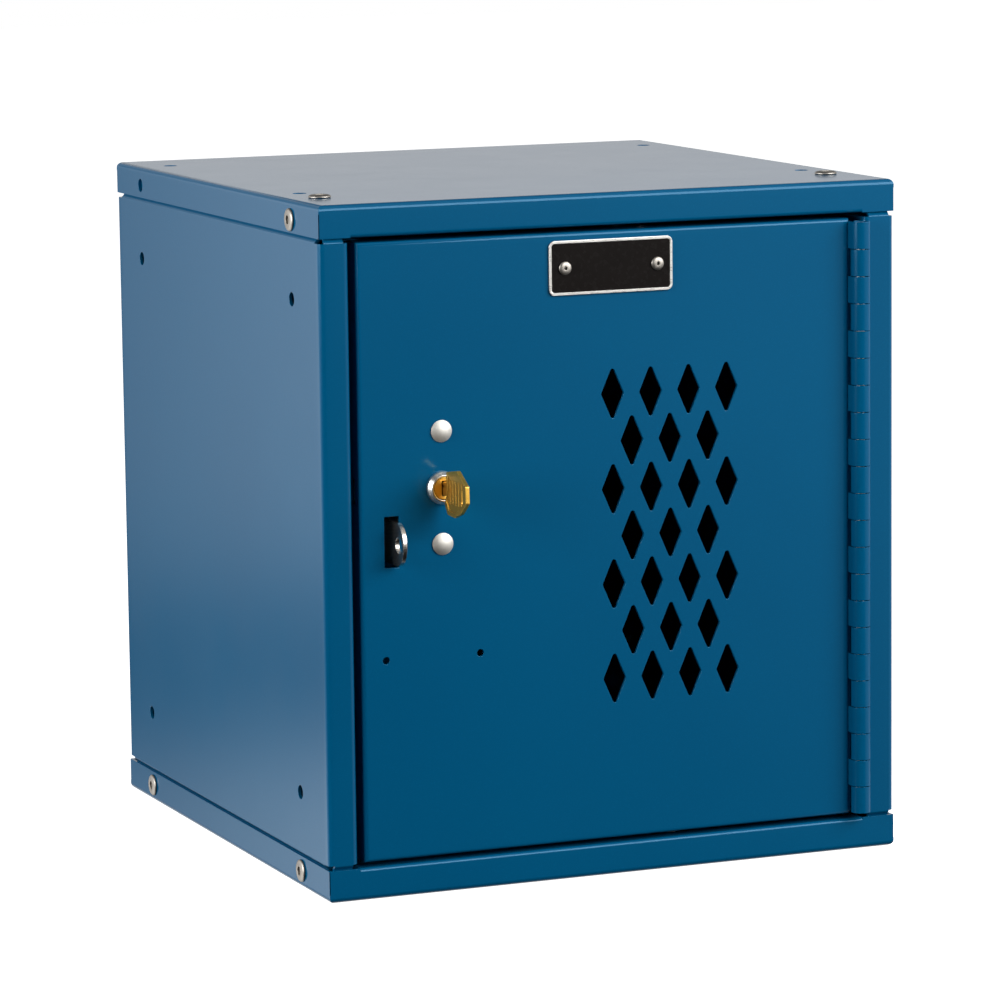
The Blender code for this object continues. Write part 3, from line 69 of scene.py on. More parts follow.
# ---- Places taken from the working model ------------------------------------------------------
CAP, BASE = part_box("top_cap"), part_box("base_pan")
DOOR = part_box("door_pan")
LEFT, FRONT, CAP_LOW = CAP[0]
RIGHT, BACK, TOP = CAP[1]
BOTTOM, BASE_HIGH = BASE[0].z, BASE[1].z
PIN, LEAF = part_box("hinge_pin"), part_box("hinge_door_leaf")
FRAME_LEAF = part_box("hinge_frame_leaf")
HINGE_X, HINGE_Y = (PIN[0].x + PIN[1].x) / 2, (PIN[0].y + PIN[1].y) / 2
BARREL_R = HINGE_X - LEAF[0].x
PLUG, KEY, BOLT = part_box("lock_plug"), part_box("key"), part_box("lock_bolt")
BEZEL, CASE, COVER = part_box("lock_bezel"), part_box("lock_case"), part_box("lock_cover")
LOCK_X, LOCK_Z = (BEZEL[0].x + BEZEL[1].x) / 2, (BEZEL[0].z + BEZEL[1].z) / 2
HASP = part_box("padlock_hasp")
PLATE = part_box("nameplate")
BACK_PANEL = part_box("back_panel")
BACK_SHEET = BACK_PANEL[1].y - BACK_PANEL[0].y
OPENING_LEFT = DOOR[0].x - 3.8 * MM              # the door's gaps to the two posts
OPENING_RIGHT = FRAME_LEAF[1].x + 0.3 * MM
SIDES = ("left", "right")
HASP_RIVETS = ("hasp_rivet_lower", "hasp_rivet_upper")
BUMPERS = ("door_bumper_lower", "door_bumper_upper")
LOCK_RIVETS = ("lock_rivet_upper", "lock_rivet_lower")
NAME_RIVETS = ("nameplate_rivet_left", "nameplate_rivet_right")

# ---- Sizes that no panel setting changes ------------------------------------------------------
GANG_HOLE_IN, GANG_HOLE_UP = 38.9 * MM, 48 * MM  # from a side's edges to its open holes
CAP_HOLE_FRONT, CAP_HOLE_BACK = 70.4 * MM, 39.4 * MM
RIVET_HOLE, LOCK_RIVET_HOLE = 1.9 * MM, 2.7 * MM  # radii
BUMPER_HOLE, BARREL_HOLE = 2.4 * MM, 7.2 * MM
VENT_ROWS = (4, 3, 4, 3, 4, 3, 4)
VENTS_IN, VENTS_UP = 98.4 * MM, 0.1 * MM         # from the door's hinge edge, from mid height
LABEL_IN, LABEL_PITCH, LABEL_DOWN = 12.2 * MM, 49 * MM, 82.4 * MM
KNUCKLES = 22
PIN_SHORT = 0.4 * MM                             # how far inside the leaves the pin ends
BOLT_TONGUE = 11 * MM
CAM_SHEET, CAM_R, CAM_ORBIT, CAM_PIN_R = 1.6 * MM, 10.0 * MM, 8.2 * MM, 1.5 * MM
TAIL_R = 4.5 * MM
KEY_BOW = (
    (8.2, 8.7), (21.8, 10.8), (33.0, 4.5), (33.4, -3.8), (25.9, -9.7), (18.0, -12.4), (9.3, -12.0),
    (5.6, -7.0),
)                                # mm in front of the door and above the plug's axis
KEY_CUTS = (1.2, 2.2, 0.8, 1.8)  # mm, depth of the bitting from the tip
CAMERA_AT = (-0.95497, -2.30962, 0.53874)
CAMERA_RIGHT = (0.92311, -0.38436, -0.01168)
CAMERA_BACK = (-0.37862, -0.91378, 0.14719)


def millimetres(name, description, value):
    """A length property whose default is in millimetres."""
    return FloatProperty(
        name=name, description=description, default=value * MM, min=0.0, soft_max=0.5,
        precision=5, unit="LENGTH", subtype="DISTANCE",
    )


def colour(name, description, value):
    return FloatVectorProperty(
        name=name, description=description, default=value, size=3, min=0.0, max=1.0,
        subtype="COLOR",
    )


def share(name, description, value):
    return FloatProperty(
        name=name, description=description, default=value, min=0.0, max=1.0, subtype="FACTOR",
    )


class LockerSheet(bpy.types.PropertyGroup):
    """Sizes of the folded sheets"""

    sheet: millimetres("Sheet", "Thickness of the body's and the door's sheet", 1.5)
    gap: millimetres("Joint gap", "Between pieces that touch", 0.3)
    fold: millimetres("Fold", "Inner radius of the body's folds", 1.3)
    door_fold: millimetres("Door fold", "Inner radius of the door's folds", 0.5)
    sill_fold: millimetres("Sill fold", "Inner radius of the fold along the door opening", 0.3)
    sill_depth: millimetres("Sill depth", "Return of the cap's and the base's front flange", 11)
    sill_end: millimetres("Sill end gap", "From a post to the end of the return", 1)
    corner_seam: millimetres("Corner seam", "Where two flanges of a pan meet", 0.5)
    edge: millimetres("Cut edge", "Rounding that paint and deburring leave on a cut edge", 0.22)
    rim: millimetres("Punched rim", "Roll that the punch leaves round a hole", 0.22)
    strike: millimetres("Strike flange", "Flange that the door closes against", 12.3)
    left_return: millimetres("Left return", "Depth of the left post", 19)
    right_return: millimetres("Right return", "Depth of the right post", 20)
    back_flange: millimetres("Back flange", "Flange round the back", 20)
    step_start: millimetres("Step start", "From a pan's flange to a panel's step", 2.4)
    step_run: millimetres("Step run", "Height over which a panel steps in", 2.7)
    tab_relief: millimetres("Tab relief", "How far a tab stays from the corner's fold", 3.2)
    ledge: millimetres("Ledge", "Side panel's flange under the cap", 25)
    fold_steps: IntProperty(name="Fold steps", description="Facets in a fold", default=8, min=2)


class LockerHoles(bpy.types.PropertyGroup):
    """Sizes of the holes"""

    screw: millimetres("Screw hole", "Radius of the ganging and screw holes", 3.4)
    label: millimetres("Label hole", "Radius of the label holder's holes", 1.8)
    vent_width: millimetres("Vent width", "Across a diamond", 11.6)
    vent_height: millimetres("Vent height", "From tip to tip of a diamond", 25.3)
    vent_tip: millimetres("Vent tip", "Radius of a diamond's corners", 1.2)
    vent_pitch: millimetres("Vent pitch", "Between diamonds in a row", 20.4)
    vent_rise: millimetres("Vent rise", "Between rows of diamonds", 23.5)
    steps: IntProperty(name="Round steps", description="Facets round a hole", default=36, min=12)


class LockerFinish(bpy.types.PropertyGroup):
    """Colours and gloss"""

    paint: colour("Paint", "Powder coat", (0.0004, 0.090, 0.204))
    paint_deep: colour("Paint, deep", "Where the coat is thicker", (0.0003, 0.083, 0.192))
    paint_gloss: share("Paint roughness", "How soft the coat's reflections are", 0.145)
    zinc: colour("Zinc", "Zinc plated steel", (0.74, 0.69, 0.62))
    nickel: colour("Nickel", "Bright nickel plate", (0.86, 0.83, 0.77))
    brass: colour("Brass", "Lock plug and key", (0.95, 0.56, 0.10))
    # Painted shade: the colour that the brass darkens to in its hollows.
    brass_hollow_shade: colour("Brass, shaded", "In the hollows", (0.30, 0.13, 0.02))
    enamel: colour("Enamel", "Field of the nameplate", (0.0075, 0.0060, 0.0055))
    border: colour("Border", "Bare aluminium of the nameplate", (0.80, 0.78, 0.74))
    rubber: colour("Rubber", "Door bumpers", (0.018, 0.018, 0.019))
    floor: colour("Floor", "Studio floor", (0.90, 0.90, 0.90))


def sheet_sizes():
    return bpy.context.scene.locker_sheet


def hole_sizes():
    return bpy.context.scene.locker_holes


def finishes():
    return bpy.context.scene.locker_finish


# ---- Mesh tools -------------------------------------------------------------------------------
FACING = {
    "-y": ((1, 0, 0), (0, 0, 1), (0, -1, 0)),
    "+y": ((-1, 0, 0), (0, 0, 1), (0, 1, 0)),
    "-x": ((0, -1, 0), (0, 0, 1), (-1, 0, 0)),
    "+x": ((0, 1, 0), (0, 0, 1), (1, 0, 0)),
    "+z": ((1, 0, 0), (0, 1, 0), (0, 0, 1)),
    "-z": ((1, 0, 0), (0, -1, 0), (0, 0, -1)),
}


def facing(point, way):
    """A place whose Z looks one way and whose Y is up where it can be."""
    turn = Matrix(FACING[way]).transposed().to_4x4()
    return Matrix.Translation(point) @ turn


def linked(name, data):
    made = bpy.data.objects.new(name, data)
    bpy.context.scene.collection.objects.link(made)
    return made


def from_bmesh(name, bm, place=None):
    """An object from a bmesh, with its faces pointing out."""
    bmesh.ops.recalc_face_normals(bm, faces=bm.faces)
    mesh = bpy.data.meshes.new(name)
    bm.to_mesh(mesh)
    bm.free()
    made = linked(name, mesh)
    if place is not None:
        made.matrix_world = place
    return made


def settle(made):
    """Turns an object's modifiers into its mesh."""
    bpy.context.view_layer.update()
    graph = bpy.context.evaluated_depsgraph_get()
    mesh = bpy.data.meshes.new_from_object(made.evaluated_get(graph), depsgraph=graph)
    old = made.data
    made.modifiers.clear()
    made.data = mesh
    mesh.name = made.name
    if old.users == 0 and isinstance(old, bpy.types.Mesh):
        bpy.data.meshes.remove(old)
    return made


def sheet_from(name, bm, thickness):
    """An object from an open skin, given its thickness inwards."""
    mesh = bpy.data.meshes.new(name)
    bm.to_mesh(mesh)
    bm.free()
    made = linked(name, mesh)
    shell = made.modifiers.new("Sheet", "SOLIDIFY")
    shell.thickness = thickness
    shell.offset = -1
    shell.use_even_offset = True
    return settle(made)


def combine(made, bm_or_object, how="DIFFERENCE"):
    """Cuts an object with a closed shape, or joins it to one."""
    shape = bm_or_object
    if isinstance(shape, bmesh.types.BMesh):
        shape = from_bmesh(made.name + "_shape", shape, made.matrix_world.copy())
    modifier = made.modifiers.new("Combine", "BOOLEAN")
    modifier.operation = how
    modifier.solver = "EXACT"
    modifier.object = shape
    settle(made)
    mesh = shape.data
    bpy.data.objects.remove(shape)
    bpy.data.meshes.remove(mesh)
    return made


def soften(made, width, angle=50, segments=2):
    """Rounds the sharp edges of an object."""
    bevel = made.modifiers.new("Soften", "BEVEL")
    bevel.width = width
    bevel.segments = segments
    bevel.limit_method = "ANGLE"
    bevel.angle_limit = math.radians(angle)
    bevel.harden_normals = False
    return settle(made)


def finish(made, body, slot, materials, *nodes, sharp=38):
    """Gives a piece its finish and its body, and hides the working pieces that it stands for."""
    mesh = made.data
    mesh.materials.clear()
    for material in materials if isinstance(materials, tuple) else (materials,):
        mesh.materials.append(material)
    mesh.shade_smooth()
    mesh.set_sharp_from_angle(angle=math.radians(sharp))
    normals = made.modifiers.new("Even normals", "WEIGHTED_NORMAL")
    normals.keep_sharp = True
    normals.weight = 80
    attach(made, body)
    if nodes:
        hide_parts(*nodes)
    return made


def add_block(bm, low, high):
    low, high = Vector(low), Vector(high)
    size = Matrix.Diagonal((*(high - low), 1))
    return bmesh.ops.create_cube(bm, size=1, matrix=Matrix.Translation((low + high) / 2) @ size)


def add_slit(bm, centre, axis, angle, size):
    """A thin cutter along the seam where two flanges meet."""
    blade = bmesh.ops.create_cube(bm, size=1)["verts"]
    turn = Matrix.Rotation(math.radians(angle), 4, axis)
    place = Matrix.Translation(centre) @ turn @ Matrix.Diagonal((*size, 1))
    bmesh.ops.transform(bm, matrix=place, verts=blade)


def open_tray(low, high, way, fold, steps, corners=False):
    """The skin of a box without the side that looks one way. The edges of the side across from it
    are folded round, and its corners too where they are drawn instead of folded."""
    bm = bmesh.new()
    add_block(bm, low, high)
    out = Vector(FACING[way][2])
    mouth = [f for f in bm.faces if f.normal.dot(out) > 0.5]
    bmesh.ops.delete(bm, geom=mouth, context="FACES_ONLY")
    rim = [
        e for e in bm.edges
        if not e.is_boundary and (corners or any(f.normal.dot(out) < -0.5 for f in e.link_faces))
    ]
    bmesh.ops.bevel(bm, geom=rim, offset=fold, segments=steps, profile=0.5, affect="EDGES")
    return bm


def arc(centre, radius, start, end, steps):
    """Points on an arc, ends included, angles in degrees."""
    turns = [math.radians(start + (end - start) * i / steps) for i in range(steps + 1)]
    return [(centre[0] + radius * math.cos(t), centre[1] + radius * math.sin(t)) for t in turns]


def circle(radius, centre=(0, 0), steps=None):
    steps = steps or hole_sizes().steps
    return arc(centre, radius, 0, 360 * (steps - 1) / steps, steps - 1)


def rounded(points, radius, steps=5, closed=True):
    """An outline with its corners rounded. The radius is one number, or one for each corner."""
    count = len(points)
    radii = radius if isinstance(radius, (list, tuple)) else [radius] * count
    made = []
    for i, (point, r) in enumerate(zip(points, radii)):
        here = Vector(point)
        if r <= 0 or (not closed and i in (0, count - 1)):
            made.append(tuple(here))
            continue
        before = (Vector(points[i - 1]) - here).normalized()
        after = (Vector(points[(i + 1) % count]) - here).normalized()
        half = before.angle(after) / 2
        if half > math.radians(88):
            made.append(tuple(here))
            continue
        run = r / math.tan(half)
        middle = here + (before + after).normalized() * (r / math.sin(half))
        first, last = here + before * run - middle, here + after * run - middle
        turn = first.angle_signed(last)
        for k in range(steps + 1):
            made.append(tuple(middle + Matrix.Rotation(-turn * k / steps, 2) @ first))
    return made


def rectangle(width, height, centre=(0, 0)):
    x, y = centre
    signs = ((-1, -1), (1, -1), (1, 1), (-1, 1))
    return [(x + a * width / 2, y + b * height / 2) for a, b in signs]


def grown(outline, amount):
    """A closed outline, listed anticlockwise, moved outwards."""
    made = []
    count = len(outline)
    for i, point in enumerate(outline):
        here = Vector(point)
        before = (here - Vector(outline[i - 1])).normalized()
        after = (Vector(outline[(i + 1) % count]) - here).normalized()
        n1, n2 = Vector((before.y, -before.x)), Vector((after.y, -after.x))
        middle = (n1 + n2).normalized()
        made.append(tuple(here + middle * amount / max(0.5, middle.dot(n1))))
    return made


def add_loft(bm, rings, place):
    """Adds a closed skin through rings of points, all with the same count, capped at both ends."""
    loops = [[bm.verts.new(place @ Vector(p)) for p in ring] for ring in rings]
    for first, second in zip(loops, loops[1:]):
        for i in range(len(first)):
            j = (i + 1) % len(first)
            bm.faces.new((first[i], first[j], second[j], second[i]))
    bm.faces.new(loops[0])
    bm.faces.new(loops[-1])


def add_punch(bm, place, outline, depth=6 * MM, rim=None):
    """Adds a cutter for a hole in the face at a place, whose rim is rolled in."""
    rim = sheet_sizes().rim if rim is None else rim
    levels = [(depth, rim)]
    for t in (0, 30, 60, 90):
        turn = math.radians(t)
        levels.append((-rim * (1 - math.cos(turn)), rim * (1 - math.sin(turn))))
    levels.append((-depth, 0.0))
    rings = [[(x, y, z) for x, y in grown(outline, wider)] for z, wider in levels]
    add_loft(bm, rings, place)


def add_holes(bm, nodes, y, way, radius, depth=6 * MM, rim=None, steps=None):
    """Adds cutters for round holes in the face at y, one in line with each working piece."""
    for node in nodes:
        point = middle(node)
        place = facing((point.x, y, point.z), way)
        add_punch(bm, place, circle(radius, steps=steps), depth, rim)


def turned(name, profile, place, steps=40, ring=False):
    """A piece turned about its own Z from (radius, height) pairs. A ring's profile closes."""
    bm = bmesh.new()
    points = list(profile) + ([profile[0]] if ring else [])
    verts = [bm.verts.new((r, 0, z)) for r, z in points]
    edges = [bm.edges.new(pair) for pair in zip(verts, verts[1:])]
    bmesh.ops.spin(
        bm, geom=verts + edges, cent=(0, 0, 0), axis=(0, 0, 1), angle=math.tau, steps=steps,
        use_duplicate=False,
    )
    bmesh.ops.remove_doubles(bm, verts=bm.verts, dist=0.000002)
    return from_bmesh(name, bm, place)


def crown(inner, outer, low, high, angles):
    """The turned outline of a domed head, from its top out to its rim."""
    turns = [math.radians(t) for t in angles]
    return [
        (inner + (outer - inner) * math.sin(t), low + (high - low) * math.cos(t)) for t in turns
    ]


def seat_of(node, way, height):
    """Where the underside of a fastener's head is, and how far its shank goes behind that."""
    low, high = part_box(node)
    axis, outside = "xyz".index(way[1]), 1 if way[0] == "+" else -1
    head, tip = (high, low) if outside > 0 else (low, high)
    seat = (low + high) / 2
    seat[axis] = head[axis] - outside * height
    return seat, abs(seat[axis] - tip[axis])


def plate(name, outlines, thickness, place, edge=0.15 * MM):
    """A flat plate with rounded edges, centred on its own XY plane. An inner outline is a hole."""
    curve = bpy.data.curves.new(name, "CURVE")
    curve.dimensions = "2D"
    curve.fill_mode = "BOTH"
    curve.extrude = thickness / 2 - edge
    curve.bevel_depth = edge
    curve.bevel_resolution = 2
    curve.offset = -edge
    for outline in outlines:
        spline = curve.splines.new("POLY")
        spline.points.add(len(outline) - 1)
        for point, (x, y) in zip(spline.points, outline):
            point.co = (x, y, 0, 1)
        spline.use_cyclic_u = True
    holder = linked(name + "_outline", curve)
    bpy.context.view_layer.update()
    graph = bpy.context.evaluated_depsgraph_get()
    mesh = bpy.data.meshes.new_from_object(holder.evaluated_get(graph), depsgraph=graph)
    bpy.data.objects.remove(holder)
    bpy.data.curves.remove(curve)
    bm = bmesh.new()
    bm.from_mesh(mesh)
    bpy.data.meshes.remove(mesh)
    bmesh.ops.remove_doubles(bm, verts=bm.verts, dist=0.000004)
    return from_bmesh(name, bm, place)


def box_outlines(box, way, corner, steps, nodes, radius):
    """The outlines of a plate that fills a box, with a round hole for each of some pieces."""
    low, high = box
    side = 1 if way == "-y" else -1
    points = [middle(node) - (low + high) / 2 for node in nodes]
    outer = rounded(rectangle(high.x - low.x, high.z - low.z), corner, steps)
    return [outer, *(circle(radius, (side * point.x, point.z)) for point in points)]


# ---- Finishes ---------------------------------------------------------------------------------
def wired(tree, kind, output, inputs, **settings):
    """A new node's output. Each of its inputs is a value or another node's output."""
    made = tree.nodes.new(kind)
    for name, value in settings.items():
        setattr(made, name, value)
    for socket, value in inputs.items():
        if isinstance(value, bpy.types.NodeSocket):
            tree.links.new(value, made.inputs[socket])
        else:
            made.inputs[socket].default_value = value
    return made.outputs[output]


def mixed(tree, factor, first, second, blend="MIX"):
    """Two colours mixed, or multiplied."""
    first, second = (
        value if isinstance(value, bpy.types.NodeSocket) else (*value, 1)
        for value in (first, second)
    )
    return wired(tree, "ShaderNodeMix", 2, {"Factor": factor, 6: first, 7: second},
                 data_type="RGBA", blend_type=blend)


class Shader:
    """A material's nodes, with the Principled shader at their end."""

    def __init__(self, name):
        self.material = bpy.data.materials.new(name)
        self.material.use_nodes = True
        self.tree = self.material.node_tree
        self.principled = self.tree.nodes["Principled BSDF"]
        self.coordinates = self.tree.nodes.new("ShaderNodeTexCoord").outputs["Object"]

    def set(self, **values):
        """Values on the shader's own sockets, with _ for a space in a name."""
        for name, value in values.items():
            self.principled.inputs[name.replace("_", " ")].default_value = value

    def link(self, source, socket):
        self.tree.links.new(source, self.principled.inputs[socket])

    def noise(self, scale, detail=2.0, roughness=0.5, stretch=(1, 1, 1)):
        """Noise between 0 and 1; the scale counts features in a metre."""
        vector = wired(self.tree, "ShaderNodeMapping", "Vector",
                       {"Scale": stretch, "Vector": self.coordinates})
        return wired(self.tree, "ShaderNodeTexNoise", "Fac",
                     {"Scale": scale, "Detail": detail, "Roughness": roughness, "Vector": vector})

    def spread(self, source, low, high, start=0.3, end=0.7):
        """Maps a value onto a range."""
        return wired(self.tree, "ShaderNodeMapRange", "Result",
                     {"From Min": start, "From Max": end, "To Min": low, "To Max": high,
                      "Value": source})

    def between(self, source, first, second):
        """A colour between two."""
        return mixed(self.tree, source, first, second)

    def tinted(self, source, value, factor):
        """A colour that wanders between itself and a lighter or darker one."""
        return self.between(self.spread(source, 0, 1), tuple(value), scaled(value, factor))

    def bump(self, source, height, strength=1.0, under=None):
        """Relief of a height in metres."""
        inputs = {"Strength": strength, "Distance": height, "Height": source}
        if under is not None:
            inputs["Normal"] = under
        return wired(self.tree, "ShaderNodeBump", "Normal", inputs)

    def hollows(self, distance):
        """0 in corners and hollows, 1 in the open."""
        return wired(self.tree, "ShaderNodeAmbientOcclusion", "AO", {"Distance": distance},
                     samples=6)


def scaled(value, factor):
    return tuple(min(1.0, part * factor) for part in value)


def paint_finish():
    """Semi-gloss powder coat: fine orange peel, slow waves of the sheet and faint cloudiness."""
    look = finishes()
    paint = Shader("powder_coat")
    cloud = paint.noise(7, 3)
    grit = paint.noise(1400, 1)
    tone = paint.between(paint.spread(cloud, 0, 1), tuple(look.paint), tuple(look.paint_deep))
    paint.link(
        paint.between(paint.spread(grit, 0, 0.35, 0.55, 0.8), tone, scaled(look.paint, 1.25)),
        "Base Color",
    )
    smear = paint.noise(28, 4, 0.6)
    paint.link(
        paint.spread(smear, look.paint_gloss * 0.95, look.paint_gloss * 1.06), "Roughness"
    )
    waves = paint.bump(paint.noise(8, 1), 0.25 * MM, 0.012)
    peel = paint.bump(paint.noise(620, 2), 0.012 * MM, 0.5, waves)
    paint.link(peel, "Normal")
    paint.set(IOR=1.5, Specular_Tint=(0.38, 0.72, 1.0, 1.0))
    return paint.material


def metal_finish(name, value, roughness, grain=(1, 1, 1), hollow_shade=None):
    """Plated or bare metal: a cloudy tone, fine scratches along the grain and painted shade in the
    hollows.
    """
    metal = Shader(name)
    metal.set(Metallic=1.0)
    tone = metal.tinted(metal.noise(120, 3), value, 0.9)
    # Painted shade: where ambient occlusion finds corners and hollows, the base colour darkens
    # towards a shade colour.
    unshaded = metal.spread(metal.hollows(1.2 * MM), 0, 1, 0.25, 0.9)
    metal.link(metal.between(unshaded, tuple(hollow_shade or scaled(value, 0.45)), tone), "Base Color")
    lines = metal.noise(2600, 3, 0.6, grain)
    metal.link(metal.spread(lines, roughness * 0.8, roughness * 1.35), "Roughness")
    metal.link(metal.bump(lines, 0.004 * MM, 0.6), "Normal")
    return metal.material


def enamel_finish():
    """Satin black enamel on the nameplate."""
    enamel = Shader("black_enamel")
    enamel.link(enamel.tinted(enamel.noise(90, 3), finishes().enamel, 1.15), "Base Color")
    enamel.link(enamel.spread(enamel.noise(300, 3), 0.22, 0.3), "Roughness")
    enamel.link(enamel.bump(enamel.noise(1800, 2), 0.006 * MM, 0.5), "Normal")
    enamel.set(Specular_IOR_Level=0.10)
    return enamel.material


def rubber_finish():
    """Dull, slightly grainy rubber."""
    rubber = Shader("bumper_rubber")
    cloud = rubber.noise(400, 3)
    rubber.link(rubber.tinted(cloud, finishes().rubber, 1.8), "Base Color")
    rubber.link(rubber.spread(cloud, 0.7, 0.9), "Roughness")
    rubber.link(rubber.bump(rubber.noise(2200, 3), 0.02 * MM, 0.6), "Normal")
    return rubber.material


def metals():
    """The colour and roughness of each metal, and its grain and the colour of its painted hollow
    shade where they differ.
    """
    look = finishes()
    # Painted shade colour for the brass's hollows.
    painted_brass_shade = tuple(look.brass_hollow_shade)
    return {
        "zinc_plate": (look.zinc, 0.45),
        "dull_zinc": (scaled(look.zinc, 0.58), 0.42),
        "bright_zinc": (look.zinc, 0.24),
        "satin_nickel": (scaled(look.nickel, 0.9), 0.55),
        "nickel_plate": (look.nickel, 0.32),
        "key_brass": (look.brass, 0.36, (1, 1, 0.15), painted_brass_shade),
        "plug_brass": (look.brass, 0.4, (1, 1, 1), painted_brass_shade),
        "bare_aluminium": (look.border, 0.3, (0.1, 1, 1)),
    }


def material(name):
    """A finish by its name, made once."""
    made = bpy.data.materials.get(name)
    if made is not None:
        return made
    coats = {
        "powder_coat": paint_finish, "black_enamel": enamel_finish, "bumper_rubber": rubber_finish,
    }
    return coats[name]() if name in coats else metal_finish(name, *metals()[name])


# ---- Folded sheets ----------------------------------------------------------------------------
def folded_path(corners, radius, steps):
    """A path with a fold at each inner corner, as (point, outward normal, span) with the outside on
    the left. A span is the name of the stretch that starts at that point."""
    path = []
    for i, (point, name) in enumerate(corners):
        here = Vector(point)
        if i in (0, len(corners) - 1):
            other = Vector(corners[1 if i == 0 else i - 1][0])
            along = ((other - here) if i == 0 else (here - other)).normalized()
            path.append((here, Vector((-along.y, along.x)), name))
            continue
        before = (here - Vector(corners[i - 1][0])).normalized()
        after = (Vector(corners[i + 1][0]) - here).normalized()
        n1, n2 = Vector((-before.y, before.x)), Vector((-after.y, after.x))
        if n1.dot(n2) > 0.999:
            path.append((here, n1, name))
            continue
        side = -1 if before.cross(after) < 0 else 1
        middle = here + side * (n1 + n2).normalized() * radius * math.sqrt(2)
        for k in range(steps + 1):
            normal = n1.slerp(n2, k / steps)
            span = name if k == steps else "fold_at_" + name
            path.append((middle - side * normal * radius, normal, span))
    return path


def skin(name, bm, grid, keep, flip, thickness):
    """A sheet through rows of vertices. keep says whether the cell at a row and column is there."""
    for k, (below, above) in enumerate(zip(grid, grid[1:])):
        for i in range(len(below) - 1):
            if keep(k, i):
                corners = [below[i], below[i + 1], above[i + 1], above[i]]
                bm.faces.new(corners if flip else corners[::-1])
    bmesh.ops.delete(bm, geom=[v for v in bm.verts if not v.link_faces], context="VERTS")
    return sheet_from(name, bm, thickness)


def folded_sheet(name, path, rows, keep, flip, thickness):
    """A sheet that follows a path in plan and steps inward up its height.

    rows are (height, step inward, zone); keep says which spans are there in which zone."""
    bm = bmesh.new()
    grid = []
    for height, inward, _ in rows:
        places = [point - normal * inward for point, normal, _ in path]
        grid.append([bm.verts.new((-p.x if flip else p.x, p.y, height)) for p in places])
    return skin(name, bm, grid, lambda k, i: keep(path[i][2], rows[k][2]), flip, thickness)


def panel_rows():
    """The heights of a side panel, with the step in behind each pan and the ledge under the cap."""
    s = sheet_sizes()
    bend = s.sheet + s.fold
    inset = s.sheet + s.gap
    step_top = CAP_LOW - s.step_start
    step_bottom = TOP - step_top
    count = 8
    ease = [
        (s.step_run * k / count, inset * (1 - math.cos(math.pi * k / count)) / 2)
        for k in range(1, count + 1)
    ]
    rows = [(s.sheet + s.gap + bend, inset, "tab")]
    rows += [(step_bottom - run, inward, "tab") for run, inward in reversed(ease)]
    rows += [(step_bottom, 0, "wall"), (step_top, 0, "tab")]
    rows += [(step_top + run, inward, "tab") for run, inward in ease]
    ledge_top = TOP - s.sheet - s.gap
    tab_end = ledge_top - bend
    rows.append((tab_end, inset, "ledge"))
    for k in range(1, s.fold_steps + 1):
        turn = math.radians(90 * k / s.fold_steps)
        inward = inset + bend * (1 - math.cos(turn))
        rows.append((tab_end + bend * math.sin(turn), inward, "ledge"))
    rows.append((ledge_top, inset + s.ledge, "ledge"))
    return rows


def keep_span(span, zone):
    """Only the post and the side go on behind a pan, and only the side is folded under it."""
    if zone == "wall":
        return True
    return span == "side" or (span == "post" and zone == "tab")


def side_screw_points(side):
    """Where the screws through the cap's and the base's side flanges are."""
    word = "left" if side < 0 else "right"
    nodes = [f"screw_{end}_{word}_front" for end in ("base", "cap")] + [f"screw_base_{word}_back"]
    return [Vector((side * RIGHT, middle(n).y, middle(n).z)) for n in nodes]


def top_points(side):
    """The screw and the two open ganging holes in the cap, on one side."""
    screw = middle("screw_top_left" if side < 0 else "screw_top_right")
    return [
        Vector((side * abs(screw.x), y, TOP))
        for y in (screw.y, FRONT + CAP_HOLE_FRONT, BACK - CAP_HOLE_BACK)
    ]


def side_panel(name, post, depth, strike, flip):
    """A side, folded from one sheet: any strike flange, return, post, side and back flange."""
    s = sheet_sizes()
    opening = LEFT + post
    corners = [((opening + s.strike, FRONT + depth), "strike")] if strike else []
    corners += [
        ((opening, FRONT + depth), "return"),
        ((opening, FRONT), "post"),
        ((LEFT, FRONT), "side_end"),
        ((LEFT, FRONT + s.sheet + s.fold + s.tab_relief), "side"),
        ((LEFT, BACK - BACK_SHEET - 2 * s.sheet - s.tab_relief), "side_end"),
        ((LEFT, BACK), "back_flange"),
        ((LEFT + s.back_flange, BACK), "end"),
    ]
    path = folded_path(corners, s.sheet + s.fold, s.fold_steps)
    made = folded_sheet(name, path, panel_rows(), keep_span, flip, s.sheet)
    soften(made, s.edge)

    side, way, word = (1, "+x", "right") if flip else (-1, "-x", "left")
    cutters = bmesh.new()
    hole = circle(hole_sizes().screw)
    for y in (FRONT + GANG_HOLE_IN, BACK - GANG_HOLE_IN):
        for z in (BOTTOM + GANG_HOLE_UP, TOP - GANG_HOLE_UP):
            add_punch(cutters, facing((side * RIGHT, y, z), way), hole)
    places = [facing(point, way) for point in side_screw_points(side)]
    places += [facing(point, "+z") for point in top_points(side)[:2]]
    for place in places:
        add_punch(cutters, place, hole, 8 * MM, 0)
    add_holes(cutters, back_rivet_nodes(word), BACK, "+y", RIVET_HOLE)
    if strike:
        face = FRONT + depth
        add_holes(cutters, HASP_RIVETS, face, "-y", RIVET_HOLE, 4 * MM)
        add_holes(cutters, BUMPERS, face, "-y", BUMPER_HOLE, 4 * MM)
        half, clear, reach = 7 * MM, 1.5 * MM, 4 * MM
        add_block(
            cutters,
            (opening - reach, BOLT[0].y - clear, LOCK_Z - half),
            (opening + reach, BOLT[1].y + clear, LOCK_Z + half),
        )
    combine(made, cutters)
    return finish(made, "cabinet", "blue_paint", material("powder_coat"), f"{word}_side_panel")


